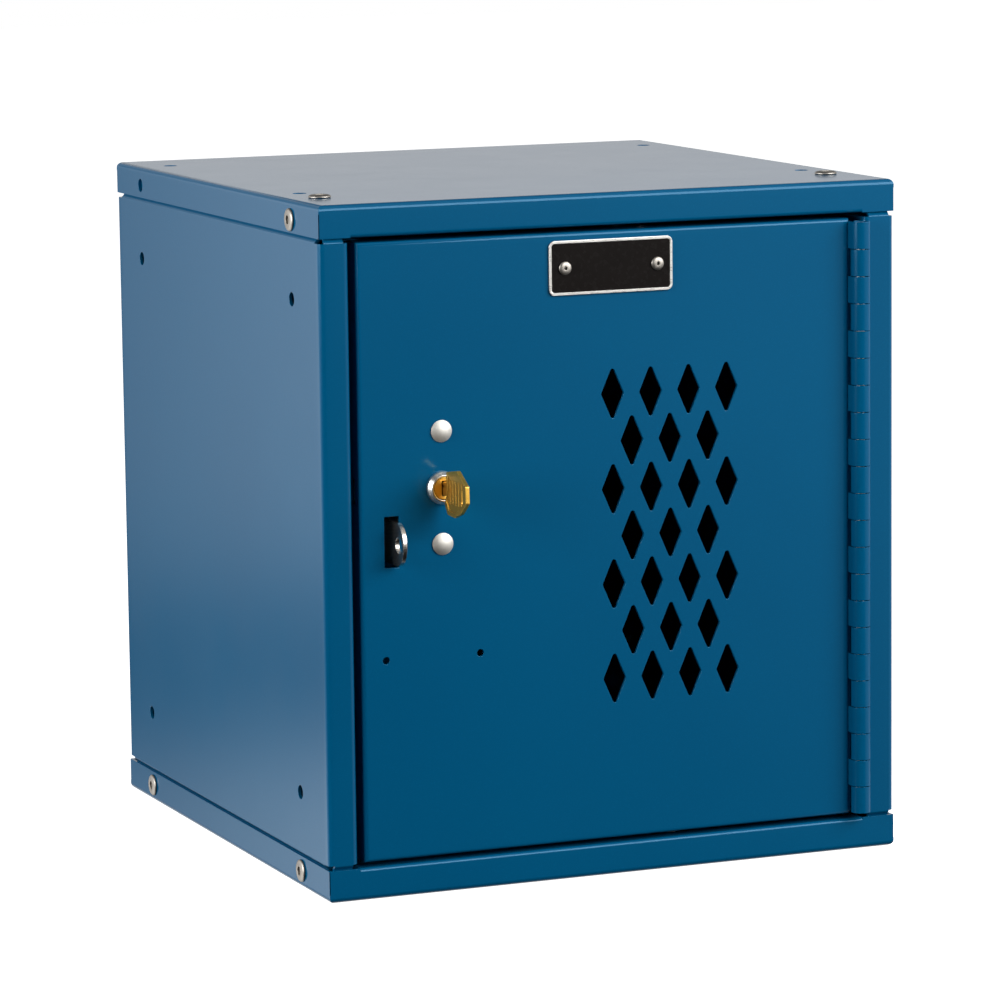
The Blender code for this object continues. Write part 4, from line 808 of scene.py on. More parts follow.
def pan(name, is_cap, node):
    """The cap, or the base, which is the same pan turned over. It is made as a cap."""
    s = sheet_sizes()
    bend, sill_bend = s.sheet + s.fold, s.sheet + s.sill_fold
    bm = open_tray((LEFT, FRONT, CAP_LOW), (RIGHT, BACK, TOP), "-z", bend, s.fold_steps)
    ends = (OPENING_LEFT + s.sill_end, OPENING_RIGHT - s.sill_end)
    bend_line = CAP_LOW + sill_bend

    def front_faces():
        return [f for f in bm.faces if f.normal.y < -0.99]

    for place, normal in (
        ((ends[0], 0, 0), (1, 0, 0)), ((ends[1], 0, 0), (1, 0, 0)), ((0, 0, bend_line), (0, 0, 1)),
    ):
        front = front_faces()
        geometry = front + list(dict.fromkeys(e for f in front for e in f.edges))
        bmesh.ops.bisect_plane(bm, geom=geometry, plane_co=place, plane_no=normal)
    strip = [
        f for f in front_faces()
        if f.calc_center_median().z < bend_line and ends[0] < f.calc_center_median().x < ends[1]
    ]
    bmesh.ops.delete(bm, geom=strip, context="FACES")
    edge = [
        e for e in bm.edges
        if e.is_boundary
        and all(abs(v.co.z - bend_line) < 1e-6 and v.co.y < FRONT + 1e-6 for v in e.verts)
    ]
    for k in range(1, s.fold_steps + 2):
        turn = math.radians(min(90, 90 * k / s.fold_steps))
        extra = s.sill_depth - sill_bend if k > s.fold_steps else 0
        y = FRONT + sill_bend * (1 - math.cos(turn)) + extra
        z = bend_line - sill_bend * math.sin(turn)
        new = bmesh.ops.extrude_edge_only(bm, edges=edge)["geom"]
        edge = [g for g in new if isinstance(g, bmesh.types.BMEdge)]
        for vert in {v for e in edge for v in e.verts}:
            vert.co.y, vert.co.z = y, z
    if not is_cap:
        for vert in bm.verts:
            vert.co.z = TOP - vert.co.z
        bmesh.ops.reverse_faces(bm, faces=bm.faces)
    made = sheet_from(name, bm, s.sheet)
    soften(made, s.edge)

    cutters = bmesh.new()
    seam = TOP - bend - s.sheet
    low, high = (CAP_LOW - 2 * MM, seam) if is_cap else (TOP - seam, BASE_HIGH + 2 * MM)
    for x, y in ((LEFT, FRONT), (RIGHT, FRONT), (LEFT, BACK), (RIGHT, BACK)):
        add_slit(cutters, (x, y, (low + high) / 2), "Z", 45 if x * y > 0 else -45,
                 (6 * s.sheet, s.corner_seam, high - low))
    hole = circle(hole_sizes().screw)
    for side, way in ((-1, "-x"), (1, "+x")):
        wanted = [p for p in side_screw_points(side) if (p.z > TOP / 2) == is_cap]
        places = []
        if is_cap:
            wanted.append(Vector((side * RIGHT, -wanted[0].y, wanted[0].z)))
            places += [facing(point, "+z") for point in top_points(side)]
        for place in places + [facing(point, way) for point in wanted]:
            add_punch(cutters, place, hole, 5 * MM)
    combine(made, cutters)
    return finish(made, "cabinet", "blue_paint", material("powder_coat"), node)


def back_sheet():
    """The flat back, behind the sides' flanges."""
    outlines = box_outlines(BACK_PANEL, "+y", 0, 0, back_rivet_nodes(*SIDES), RIVET_HOLE)
    made = plate("back_sheet", outlines, BACK_SHEET, facing(middle("back_panel"), "+y"))
    return finish(made, "cabinet", "blue_paint", material("powder_coat"), "back_panel")


# ---- Fasteners --------------------------------------------------------------------------------
def back_rivet_nodes(*words):
    return [f"back_rivet_{level}_{w}" for w in words for level in ("low", "middle", "high")]


def thread(radius, top, bottom, pitch=1.27 * MM, depth=0.5 * MM):
    """The turned outline of a threaded shank, top to bottom."""
    points = []
    for k in range(int((top - bottom) / pitch)):
        z = top - k * pitch
        points += [(radius, z - 0.1 * pitch), (radius - depth, z - 0.5 * pitch),
                   (radius, z - 0.9 * pitch)]
    return points + [(radius - depth, bottom)]


def body_screw(node):
    """A button screw with a hexagonal socket. Its place and length come from the working piece."""
    axis = "z" if "_top_" in node else "x"
    way = ("+" if getattr(middle(node), axis) > 0 else "-") + axis
    head_r, height, shank = 5.55 * MM, 1.5 * MM, 3.1 * MM
    seat, length = seat_of(node, way, height)
    profile = [
        (0, height),
        *crown(2.9 * MM, head_r, 0.4 * MM, height, (0, 12, 24, 36, 48, 60, 72, 81, 90)),
        (head_r, 0.2 * MM), (head_r - 0.18 * MM, 0.02 * MM), (shank, 0.02 * MM),
        (shank, -2.5 * MM), *thread(shank, -2.6 * MM, -length), (0, -length),
    ]
    made = turned(node.replace("screw_", "button_screw_"), profile, facing(seat, way))
    socket = bmesh.new()
    hexagon = circle(2.35 * MM, steps=6)
    add_punch(socket, Matrix.Translation((0, 0, height)), hexagon, 1.0 * MM, 0.2 * MM)
    combine(made, socket)
    finish(made, "cabinet", "zinc_steel", material("dull_zinc"), node)
    return hex_nut(node.replace("screw_", "nut_"), way)


def hex_nut(node, way):
    """A chamfered nut, turned the way that its working piece is."""
    low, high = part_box(node)
    flats, thick, chamfer = 5.4 * MM, 3.6 * MM, 0.55 * MM
    corner = flats / math.cos(math.pi / 6)
    profile = [
        (0, thick / 2), (flats * 0.97, thick / 2), (corner, thick / 2 - chamfer),
        (corner, -thick / 2 + chamfer), (flats * 0.97, -thick / 2), (0, -thick / 2),
    ]
    made = turned("hex_" + node, profile, facing(middle(node), way), 48)
    across = (high - low).x if way[1] == "z" else (high - low).y
    start = 0 if abs(across - 2 * corner) < 0.2 * MM else 30
    ring = arc((0, 0), corner, start, start + 300, 5)
    prism, bore = bmesh.new(), bmesh.new()
    add_loft(prism, [[(x, y, z) for x, y in ring] for z in (-thick, thick)], Matrix.Identity(4))
    combine(made, prism, "INTERSECT")
    add_punch(bore, Matrix.Translation((0, 0, thick / 2)), circle(3.3 * MM, steps=28), 6 * MM,
              0.3 * MM)
    combine(made, bore)
    return finish(made, "cabinet", "zinc_steel", material("zinc_plate"), node)


def blind_rivet(node, way, body, name, finish_name="zinc_plate"):
    """A domed head with the mandrel's broken end down its middle, a shank and its swelled tail."""
    r, height, shank = 3.3 * MM, 1.1 * MM, 1.6 * MM
    seat, tail = seat_of(node, way, height)
    swell = tail - 1.8 * MM
    profile = [
        (0, height - 1.3 * MM), (0.5 * MM, height - 1.32 * MM), (0.62 * MM, height - 1.42 * MM),
        (0.72 * MM, height - 1.5 * MM), (0.80 * MM, height - 1.3 * MM),
        (0.84 * MM, height - 0.14 * MM), (0.91 * MM, height - 0.03 * MM),
        *crown(0.95 * MM, r, 0.22 * MM, height, (8, 20, 34, 48, 62, 76, 90)),
        (r, 0.12 * MM), (r - 0.1 * MM, 0.01 * MM), (shank, 0.01 * MM), (shank, -swell),
        (2.2 * MM, -swell - 0.1 * MM), (2.32 * MM, -swell - 0.6 * MM),
        (2.1 * MM, -swell - 1.4 * MM), (shank, -tail), (0, -tail),
    ]
    made = turned(name, profile, facing(seat, way), 32)
    return finish(made, body, "zinc_steel", material(finish_name), node)


# ---- Door -------------------------------------------------------------------------------------
def vent_outline(centre):
    """A diamond with rounded tips."""
    h = hole_sizes()
    x, z = centre
    reach_w = h.vent_width / 2 + 0.35 * MM       # what the rounding takes off each corner
    reach_h = h.vent_height / 2 + 1.25 * MM
    corners = [(x + reach_w, z), (x, z + reach_h), (x - reach_w, z), (x, z - reach_h)]
    return rounded(corners, h.vent_tip, 6)


def vent_centres():
    h = hole_sizes()
    middle_x, middle_z = DOOR[1].x - VENTS_IN, TOP / 2 + VENTS_UP
    centres = []
    for k, count in enumerate(VENT_ROWS):
        z = middle_z + (len(VENT_ROWS) - 1 - 2 * k) / 2 * h.vent_rise
        centres += [(middle_x + (i - (count - 1) / 2) * h.vent_pitch, z) for i in range(count)]
    return centres


def add_lock_holes(bm, y, depth):
    """The holes for the lock's barrel and its two rivets, in the face at y."""
    add_punch(bm, facing((LOCK_X, y, LOCK_Z), "-y"), circle(BARREL_HOLE), depth)
    add_holes(bm, LOCK_RIVETS, y, "-y", LOCK_RIVET_HOLE, depth)


def add_tongue_window(bm, x):
    """The window that the bolt's tongue comes out through, in the side wall at x."""
    clear = 0.5 * MM
    half = BOLT_TONGUE / 2 + clear
    add_block(bm, (x - 2 * MM, BOLT[0].y - clear, LOCK_Z - half),
              (x + 3 * MM, BOLT[1].y + clear, LOCK_Z + half))


def door_sheet():
    """A shallow pan with its flanges turned back, punched for the vents, lock, hasp and plate."""
    s = sheet_sizes()
    bend = s.sheet + s.door_fold
    low, high = DOOR
    made = sheet_from("door_sheet", open_tray(low, high, "+y", bend, s.fold_steps), s.sheet)
    soften(made, s.edge)

    vents = bmesh.new()
    face = facing((0, FRONT, 0), "-y")
    for centre in vent_centres():
        add_punch(vents, face, vent_outline(centre), 5 * MM)
    combine(made, vents)

    cutters = bmesh.new()
    start, end = FRONT + bend + s.corner_seam, high.y + 2 * MM
    for x in (low.x, high.x):
        for z in (low.z, high.z):
            rising = (x < 0) == (z < TOP / 2)
            add_slit(cutters, (x, (start + end) / 2, z), "Y", -45 if rising else 45,
                     (6 * s.sheet, end - start, s.corner_seam))
    add_lock_holes(cutters, FRONT, 5 * MM)
    add_holes(cutters, NAME_RIVETS, FRONT, "-y", RIVET_HOLE, 5 * MM)
    for x in (low.x + LABEL_IN, low.x + LABEL_IN + LABEL_PITCH):
        add_punch(cutters, face, circle(hole_sizes().label, (x, LOCK_Z - LABEL_DOWN)), 5 * MM)
    left, right = HASP[1].x - 6.5 * MM, HASP[1].x + 1.3 * MM
    bottom, top = HASP[0].z - 1.5 * MM, HASP[1].z + 2.5 * MM
    slot = [(left, bottom), (right, bottom), (right, top), (left, top)]
    add_punch(cutters, face, rounded(slot, 0.4 * MM, 4), 5 * MM)
    add_tongue_window(cutters, low.x)
    combine(made, cutters)
    return finish(made, "door", "blue_paint", material("powder_coat"), "door_pan")


def name_plate():
    """An aluminium plate whose enamel field is blank."""
    thick = PLATE[1].y - PLATE[0].y
    centre = middle("nameplate")
    outline, *holes = box_outlines(PLATE, "-y", 3 * MM, 8, NAME_RIVETS, RIVET_HOLE)
    border = plate("name_border", [outline, *holes], thick, facing(centre, "-y"), 0.18 * MM)
    recess = bmesh.new()
    add_punch(recess, Matrix.Translation((0, 0, thick / 2)), grown(outline, -1.35 * MM), 0.16 * MM,
              0.06 * MM)
    combine(border, recess)
    finish(border, "door", "black_plate", material("bare_aluminium"), "nameplate")
    field = plate(
        "name_field", [grown(outline, -1.42 * MM), *holes], 0.12 * MM,
        facing(centre + Vector((0, -(thick / 2 - 0.13 * MM), 0)), "-y"), 0.03 * MM,
    )
    finish(field, "door", "black_plate", material("black_enamel"))


# ---- Hinge ------------------------------------------------------------------------------------
def hinge_leaf(name, is_door, node):
    """A leaf and its rolled knuckles, about the pin."""
    sheet, gap, clear, roll = 1.2 * MM, 0.35 * MM, 0.6 * MM, 292
    side = -1 if is_door else 1
    start = 180 if is_door else 0
    line = [(side * BARREL_R, LEAF[1].y - HINGE_Y), (side * BARREL_R, BARREL_R + clear)]
    line += arc((0, 0), BARREL_R, start, start - side * roll, 40)
    low, high = PIN[0].z - PIN_SHORT, PIN[1].z + PIN_SHORT
    levels = [low + (high - low) * k / KNUCKLES for k in range(KNUCKLES + 1)]
    rows = [levels[0]]
    for level in levels[1:-1]:
        rows += [level - gap / 2, level + gap / 2]
    rows.append(levels[-1])

    def is_there(row, column):
        knuckle, in_gap = divmod(row, 2)
        return column == 0 or (not in_gap and (knuckle % 2 == 1) == is_door)

    bm = bmesh.new()
    grid = [[bm.verts.new((HINGE_X + x, HINGE_Y + y, z)) for x, y in line] for z in rows]
    made = skin(name, bm, grid, is_there, not is_door, sheet)
    soften(made, 0.14 * MM)
    body = "door" if is_door else "cabinet"
    return finish(made, body, "blue_paint", material("powder_coat"), node)


def hinge_rod():
    """The hinge's pin, chamfered at both ends."""
    r, chamfer = 2.25 * MM, 0.3 * MM
    half = (PIN[1].z - PIN[0].z) / 2
    profile = [(0, half), (r - chamfer, half), (r, half - chamfer), (r, -half + chamfer),
               (r - chamfer, -half), (0, -half)]
    made = turned("hinge_rod", profile, facing(middle("hinge_pin"), "+z"), 36)
    return finish(made, "cabinet", "zinc_steel", material("zinc_plate"), "hinge_pin")


# ---- Lock -------------------------------------------------------------------------------------
def lock_box():
    """The lock's drawn case and its cover."""
    low, high = CASE
    bm = open_tray(low, high, "+y", 1.6 * MM, 5, corners=True)
    case = sheet_from("case_shell", bm, 1.3 * MM)
    soften(case, 0.15 * MM)
    holes = bmesh.new()
    add_lock_holes(holes, low.y, 3 * MM)
    add_tongue_window(holes, low.x)
    combine(case, holes)
    finish(case, "door", "zinc_steel", material("zinc_plate"), "lock_case")

    outlines = box_outlines(COVER, "+y", 2 * MM, 6, LOCK_RIVETS, LOCK_RIVET_HOLE)
    place = facing(middle("lock_cover"), "+y")
    cover = plate("case_cover", outlines, COVER[1].y - COVER[0].y, place)
    finish(cover, "door", "zinc_steel", material("zinc_plate"), "lock_cover")


def bezel_ring():
    """The flanged, rounded ring round the plug, and its barrel behind the door's face."""
    bore, barrel, flange = 5.7 * MM, 6.9 * MM, 8.1 * MM
    proud, seat = 4.0 * MM, 0.3 * MM
    end = -(BEZEL[1].y - FRONT)
    corners = [
        (bore, proud), (bore + 0.75 * MM, proud), (flange - 0.15 * MM, 0.50 * proud),
        (flange, 0.30 * proud), (flange, seat), (barrel, seat), (barrel, end), (bore, end),
    ]
    radii = [r * MM for r in (0.2, 0.5, 0.6, 0.3, 0.1, 0, 0.2, 0.1)]
    place = facing((LOCK_X, FRONT, LOCK_Z), "-y")
    made = turned("bezel_ring", rounded(corners, radii), place, 64, ring=True)
    made.visible_diffuse = False
    return finish(made, "door", "nickel", material("nickel_plate"), "lock_bezel")


def lock_rivet(node, name):
    """A domed rivet whose tail is headed over inside the lock's case."""
    r, height, gap, rim = 5.4 * MM, 1.9 * MM, 0.3 * MM, 0.25 * MM
    shank, head, tail = 2.4 * MM, 3.84 * MM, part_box(node)[1].y - FRONT
    sphere = (r * r + (height - rim) ** 2) / (2 * (height - rim))
    half = math.degrees(math.asin(r / sphere))
    drop = height + gap - sphere
    profile = [
        *((across, along + drop) for along, across in arc((0, 0), sphere, 0, half, 14)),
        (r, gap + 0.12 * MM), (r - 0.12 * MM, gap + 0.01 * MM), (shank, gap + 0.01 * MM),
        (shank, -tail + 1.5 * MM), (3.6 * MM, -tail + 1.4 * MM), (head, -tail + 1.1 * MM),
        (head, -tail + 0.7 * MM), (3.4 * MM, -tail + 0.25 * MM), (2 * MM, -tail), (0, -tail),
    ]
    centre = middle(node)
    made = turned(name, profile, facing((centre.x, FRONT, centre.z), "-y"), 48)
    return finish(made, "door", "nickel", material("satin_nickel"), node)


def plug_core():
    """The plug, its cam with the drive pin and its tail, with the keyway right through."""
    place = facing((LOCK_X, PLUG[0].y, LOCK_Z), "-y")
    cam_front = -(BOLT[0].y - 0.5 * MM - CAM_SHEET - PLUG[0].y)
    cam_back = cam_front - CAM_SHEET
    end = -(PLUG[1].y - PLUG[0].y)
    r = 5.5 * MM
    corners = [
        (0, 0), (r, 0), (r, cam_front), (CAM_R, cam_front), (CAM_R, cam_back), (TAIL_R, cam_back),
        (TAIL_R, end), (0, end),
    ]
    radii = [fold * MM for fold in (0, 0.35, 0.3, 0.25, 0.25, 0.3, 0.25, 0)]
    made = turned("plug_core", rounded(corners, radii, 4, closed=False), place, 64)
    pin_start = cam_front - 0.5 * MM
    pin_end = -(BOLT[1].y + 0.4 * MM - PLUG[0].y)
    chamfer = 0.25 * MM
    lean = math.radians(45)
    pin_at = Matrix.Translation((CAM_ORBIT * math.sin(lean), -CAM_ORBIT * math.cos(lean), 0))
    pin_profile = [
        (0, pin_start), (CAM_PIN_R, pin_start), (CAM_PIN_R, pin_end + chamfer),
        (CAM_PIN_R - chamfer, pin_end), (0, pin_end),
    ]
    combine(made, turned("drive_pin", pin_profile, place @ pin_at, 28), "UNION")
    keyway = bmesh.new()
    add_punch(keyway, Matrix.Identity(4), rectangle(2.7 * MM, 7.3 * MM), 40 * MM, 0.2 * MM)
    combine(made, keyway)
    return finish(made, "lock_plug", "brass", material("plug_brass"), "lock_plug")


def bolt_plate():
    """A flat bolt with a window round the plug's tail and a slot for the cam's pin."""
    throw = 2 * CAM_ORBIT * math.sin(math.radians(45))
    clear, slot = TAIL_R + 0.5 * MM, CAM_PIN_R + 0.5 * MM
    foot = CAM_ORBIT + slot
    low, high = BOLT
    left, right, tip = -(clear + 3.4 * MM), high.x - LOCK_X, low.x - LOCK_X
    half = BOLT_TONGUE / 2
    top, bottom = high.z - LOCK_Z, low.z - LOCK_Z
    outer = [(tip, -half), (left, -half), (left, bottom), (right, bottom), (right, top),
             (left, top), (left, half), (tip, half)]
    inner_right, pin = throw + clear, throw / 2
    hole = [(-clear, -clear), (pin - slot, -clear), (pin - slot, -foot), (pin + slot, -foot),
            (pin + slot, -clear), (inner_right, -clear), (inner_right, clear), (-clear, clear)]
    radii = [r * MM for r in (1.2, 0.4, 0.8, 0.8, 0.8, 0.8, 0.4, 1.2)]
    place = facing((LOCK_X, (low.y + high.y) / 2, LOCK_Z), "-y")
    outlines = [rounded(outer, radii, 4), rounded(hole, 0.3 * MM, 3)]
    made = plate("bolt_plate", outlines, high.y - low.y, place, 0.25 * MM)
    return finish(made, "bolt", "zinc_steel", material("zinc_plate"), "lock_bolt")


# ---- Key --------------------------------------------------------------------------------------
def key_blank():
    """A flat key: a faceted bow with a raised rim, a ribbed field and a ring slot, and a blade with
    its bitting and a milled groove. Its plan is (depth behind the front face, height), listed
    anticlockwise seen from the right."""
    half, neck = 3.3 * MM, -8.0 * MM
    tip = KEY[1].y - FRONT
    pitch = (tip - 1.5 * MM) / len(KEY_CUTS)
    blade = [(neck, half), (tip - 2 * MM, half), (tip, 0.0)]
    for k, depth in enumerate(KEY_CUTS):
        blade.append((tip - (k + 0.35) * pitch, -half + depth * MM))
        blade.append((tip - (k + 0.75) * pitch, -half + 0.3 * MM))
    blade.append((neck, -half))
    bow = [(-y * MM, z * MM) for y, z in KEY_BOW]
    radii = [0.3 * MM] * len(blade) + [1.0 * MM] * len(bow)
    radii[0] = radii[len(blade) - 1] = 0.0
    outline = rounded(blade[::-1] + bow, radii, 4)
    ring = rounded(rectangle(2 * MM, 7 * MM, (-27.2 * MM, -1.1 * MM)), 0.7 * MM)
    place = facing((LOCK_X, FRONT, LOCK_Z), "+x")
    made = plate("key_blank", [outline, ring], 2 * MM, place, 0.28 * MM)

    centre, share_left = (-20 * MM, -0.6 * MM), 0.80
    field = [tuple(c + (v - c) * share_left for v, c in zip(point, centre)) for point in bow]
    field = rounded(field, 1.0 * MM, 4)
    for side in (1, -1):
        flip = Matrix.Rotation(0 if side > 0 else math.pi, 4, "Y")
        shape = [(side * x, y) for x, y in field][::side]
        recess, bars = bmesh.new(), bmesh.new()
        add_punch(recess, flip @ Matrix.Translation((0, 0, 1 * MM)), shape, 0.32 * MM, 0.2 * MM)
        combine(made, recess)
        for k in range(5):
            x = side * (centre[0] + (k - 2) * 3.6 * MM)
            bar = rectangle(1.0 * MM, 11.5 * MM, (x, -0.4 * MM))
            floor = flip @ Matrix.Translation((0, 0, 0.68 * MM))
            add_punch(bars, floor, bar, 0.26 * MM, 0.15 * MM)
        combine(made, bars)
    for side in (-1, 1):
        groove = bmesh.new()
        add_block(groove, (-6.5 * MM, 0.7 * MM, side * 1.5 * MM - 0.85 * MM),
                  (tip + MM, 1.9 * MM, side * 1.5 * MM + 0.85 * MM))
        combine(made, groove)
    return finish(made, "key", "brass", material("key_brass"), "key", sharp=32)


# ---- Hasp and bumpers -------------------------------------------------------------------------
def hasp_angle():
    """An angle whose eye comes out through the door's slot, and its two rivets."""
    sheet = 2 * MM
    low, high = HASP
    corners = [((low.x, high.y), "foot"), ((high.x, high.y), "eye"), ((high.x, low.y), "end")]
    path = folded_path(corners, 2.6 * MM, 8)
    rows = [(low.z, 0, "wall"), (high.z, 0, "wall")]
    made = folded_sheet("hasp_angle", path, rows, lambda span, zone: True, False, sheet)
    centre = (low.z + high.z) / 2
    radius = (high.z - low.z) / 2
    squash = 0.86
    nose_y = low.y + radius * squash
    nose = [(nose_y + math.cos(math.radians(t)) * radius * squash,
             centre + math.sin(math.radians(t)) * radius) for t in range(90, 271, 5)]
    outline = [(high.y + 2 * MM, low.z), (high.y + 2 * MM, high.z), *nose]
    eye = circle(4.1 * MM, (FRONT - 7 * MM, centre), 48)
    prism, holes = bmesh.new(), bmesh.new()
    for bm, shape, start, end in (
        (prism, outline, low.x - 2 * MM, high.x + 2 * MM),
        (holes, eye, high.x - 6 * MM, high.x + 4 * MM),
    ):
        add_loft(bm, [[(x, y, z) for y, z in shape] for x in (start, end)], Matrix.Identity(4))
    combine(made, prism, "INTERSECT")
    add_holes(holes, HASP_RIVETS, high.y - sheet, "-y", RIVET_HOLE, 4 * MM, 0, 28)
    combine(made, holes)
    soften(made, 0.42 * MM, 50, 3)
    finish(made, "cabinet", "zinc_steel", material("bright_zinc"), "padlock_hasp")

    r, height, shank, head = 3.0 * MM, 1.0 * MM, 1.6 * MM, 2.4 * MM
    for node in HASP_RIVETS:
        seat, tail = seat_of(node, "-y", height)
        profile = [
            *crown(0, r, 0.1 * MM, height, range(0, 91, 15)), (r - 0.1 * MM, 0.01 * MM),
            (shank, 0.01 * MM), (shank, -tail + 1.2 * MM), (head, -tail + 1.15 * MM),
            (head, -tail + 0.5 * MM), (1.9 * MM, -tail), (0, -tail),
        ]
        rivet = turned(node.replace("rivet", "stud"), profile, facing(seat, "-y"), 32)
        finish(rivet, "cabinet", "zinc_steel", material("zinc_plate"), node)


def rubber_bumpers():
    """The door's two stops, pushed into the strike flange."""
    thick, r = 2.2 * MM, 4.2 * MM
    for node in BUMPERS:
        seat, tail = seat_of(node, "-y", thick)
        corners = [
            (0, thick), (r, thick), (r, 0.02 * MM), (0.5 * r, 0.02 * MM), (0.5 * r, -2.1 * MM),
            (0.62 * r, -2.3 * MM), (0.42 * r, -tail), (0, -tail),
        ]
        radii = [radius * MM for radius in (0, 1.1, 0.2, 0.1, 0.1, 0.2, 0.4, 0)]
        profile = rounded(corners, radii, closed=False)
        made = turned(node.replace("door_", ""), profile, facing(seat, "-y"))
        finish(made, "cabinet", "black_rubber", material("bumper_rubber"), node)


# ---- Stage ------------------------------------------------------------------------------------
def direction(azimuth, elevation):
    """A direction out from the locker. Azimuth 0 is straight in front, and it grows to the right."""
    a, e = math.radians(azimuth), math.radians(elevation)
    return Vector((math.sin(a) * math.cos(e), -math.cos(a) * math.cos(e), math.sin(e)))


def softbox(name, azimuth, elevation, distance, size, power):
    light = bpy.data.lights.new(name, "AREA")
    light.shape = "RECTANGLE"
    light.size, light.size_y = size
    light.energy = power
    made = linked(name, light)
    aim = Vector((0, 0, 0.16))
    made.location = aim + direction(azimuth, elevation) * distance
    made.rotation_euler = (aim - made.location).to_track_quat("-Z", "Y").to_euler()
    return made


def add_floor():
    bm = bmesh.new()
    bmesh.ops.create_grid(bm, x_segments=1, y_segments=1, size=8)
    floor = from_bmesh("studio_floor", bm, Matrix.Translation((0, 0, -0.0002)))
    shade = Shader("floor_paper")
    cloud = shade.noise(3, 2)
    shade.link(shade.tinted(cloud, finishes().floor, 0.985), "Base Color")
    shade.link(shade.spread(cloud, 0.8, 0.95), "Roughness")
    shade.link(shade.bump(shade.noise(900, 2), 0.02 * MM, 0.2), "Normal")
    shade.set(Specular_IOR_Level=0.0, Emission_Color=(1, 1, 1, 1), Emission_Strength=0.85)
    floor.data.materials.append(shade.material)
    floor.visible_glossy = False
    floor.visible_diffuse = False
    return floor


def add_world():
    """White to look at; to the locker, a bright wall behind it, a dim room in front of it."""
    world = bpy.data.worlds.new("Studio")
    world.use_nodes = True
    bpy.context.scene.world = world
    tree = world.node_tree
    background = tree.nodes["Background"]
    coordinates = tree.nodes.new("ShaderNodeTexCoord").outputs["Generated"]

    def along(vector, low, high):
        """How far a direction goes along a vector, from 0 at low to 1 at high."""
        dot = wired(tree, "ShaderNodeVectorMath", "Value", {0: coordinates, 1: vector},
                    operation="DOT_PRODUCT")
        return wired(tree, "ShaderNodeMapRange", "Result",
                     {"From Min": low, "From Max": high, "Value": dot})

    def ramp(source, stops):
        made = tree.nodes.new("ShaderNodeValToRGB")
        made.color_ramp.interpolation = "EASE"
        elements = made.color_ramp.elements
        while len(elements) < len(stops):
            elements.new(0.5)
        for element, (place, value) in zip(elements, stops):
            element.position = place
            element.color = (value, value, value, 1)
        tree.links.new(source, made.inputs["Fac"])
        return made.outputs["Color"]

    height = ramp(
        along((0, 0, 1), -1, 1),
        [(0.0, 0.72), (0.398, 0.76), (0.405, 0.06), (0.412, 0.06), (0.425, 0.52), (0.5, 0.56),
         (0.56, 0.69), (0.61, 0.69), (0.74, 0.12), (1.0, 0.02)],
    )
    sideways = ramp(
        along((1, 0, 0), -0.45, 0.1), [(0, 2.0), (0.165, 2.0), (0.272, 0.32), (0.8, 1.0)]
    )
    ahead = ramp(along((1, 0, 0.8), 0.1, 0.9), [(0.0, 0.0), (0.14, 0.01), (0.35, 0.42), (1, 0.5)])
    behind = mixed(tree, 1.0, height, sideways, "MULTIPLY")
    seen = mixed(tree, along((0, 1, 0), -0.1, 0.2), ahead, behind)
    to_camera = tree.nodes.new("ShaderNodeLightPath").outputs["Is Camera Ray"]
    tree.links.new(mixed(tree, to_camera, seen, (1, 1, 1)), background.inputs["Color"])
    background.inputs["Strength"].default_value = 1.0


def add_camera():
    camera = bpy.data.cameras.new("Camera")
    camera.lens = 175.56
    camera.sensor_width = 36
    camera.clip_start = 0.05
    camera.clip_end = 50
    made = linked("Camera", camera)
    right, back = Vector(CAMERA_RIGHT).normalized(), Vector(CAMERA_BACK).normalized()
    up = back.cross(right).normalized()
    turn = Matrix((up.cross(back), up, back)).transposed().to_4x4()
    made.matrix_world = Matrix.Translation(CAMERA_AT) @ turn
    bpy.context.scene.camera = made
    return made


# ---- Operators --------------------------------------------------------------------------------
class LOCKER_OT_stage(bpy.types.Operator):
    """Add the floor, the lights, the surroundings and the camera"""

    bl_idname = "locker.stage"
    bl_label = "Studio"

    def execute(self, context):
        things = [
            add_floor(),
            softbox("key_softbox", 34, 25, 1.6, (1.6, 0.92), 27),
            softbox("left_softbox", -80, 14, 2.2, (1.5, 1.1), 43),
            add_camera(),
        ]
        add_world()
        context.scene.view_settings.view_transform = "Standard"
        return {"FINISHED"}


class LOCKER_OT_body(bpy.types.Operator):
    """Fold the cap, the base, both sides and the back"""

    bl_idname = "locker.body"
    bl_label = "Body sheets"

    def execute(self, context):
        s = sheet_sizes()
        pan("cap_sheet", True, "top_cap")
        pan("base_sheet", False, "base_pan")
        side_panel("left_sheet", OPENING_LEFT - LEFT, s.left_return, True, False)
        side_panel("right_sheet", RIGHT - OPENING_RIGHT, s.right_return, False, True)
        back_sheet()
        return {"FINISHED"}


class LOCKER_OT_fasteners(bpy.types.Operator):
    """Add the body's button screws, nuts and blind rivets"""

    bl_idname = "locker.fasteners"
    bl_label = "Screws and rivets"

    def execute(self, context):
        for word in SIDES:
            for place in ("top_{}", "cap_{}_front", "base_{}_front", "base_{}_back"):
                body_screw("screw_" + place.format(word))
        for node in back_rivet_nodes(*SIDES):
            blind_rivet(node, "+y", "cabinet", node.replace("back_rivet_", "blind_rivet_"))
        for node in NAME_RIVETS:
            name = node.replace("nameplate_", "name_")
            blind_rivet(node, "-y", "door", name, "dull_zinc")
        return {"FINISHED"}


class LOCKER_OT_door(bpy.types.Operator):
    """Fold and punch the door, and add its blank nameplate"""

    bl_idname = "locker.door"
    bl_label = "Door"

    def execute(self, context):
        door_sheet()
        name_plate()
        return {"FINISHED"}


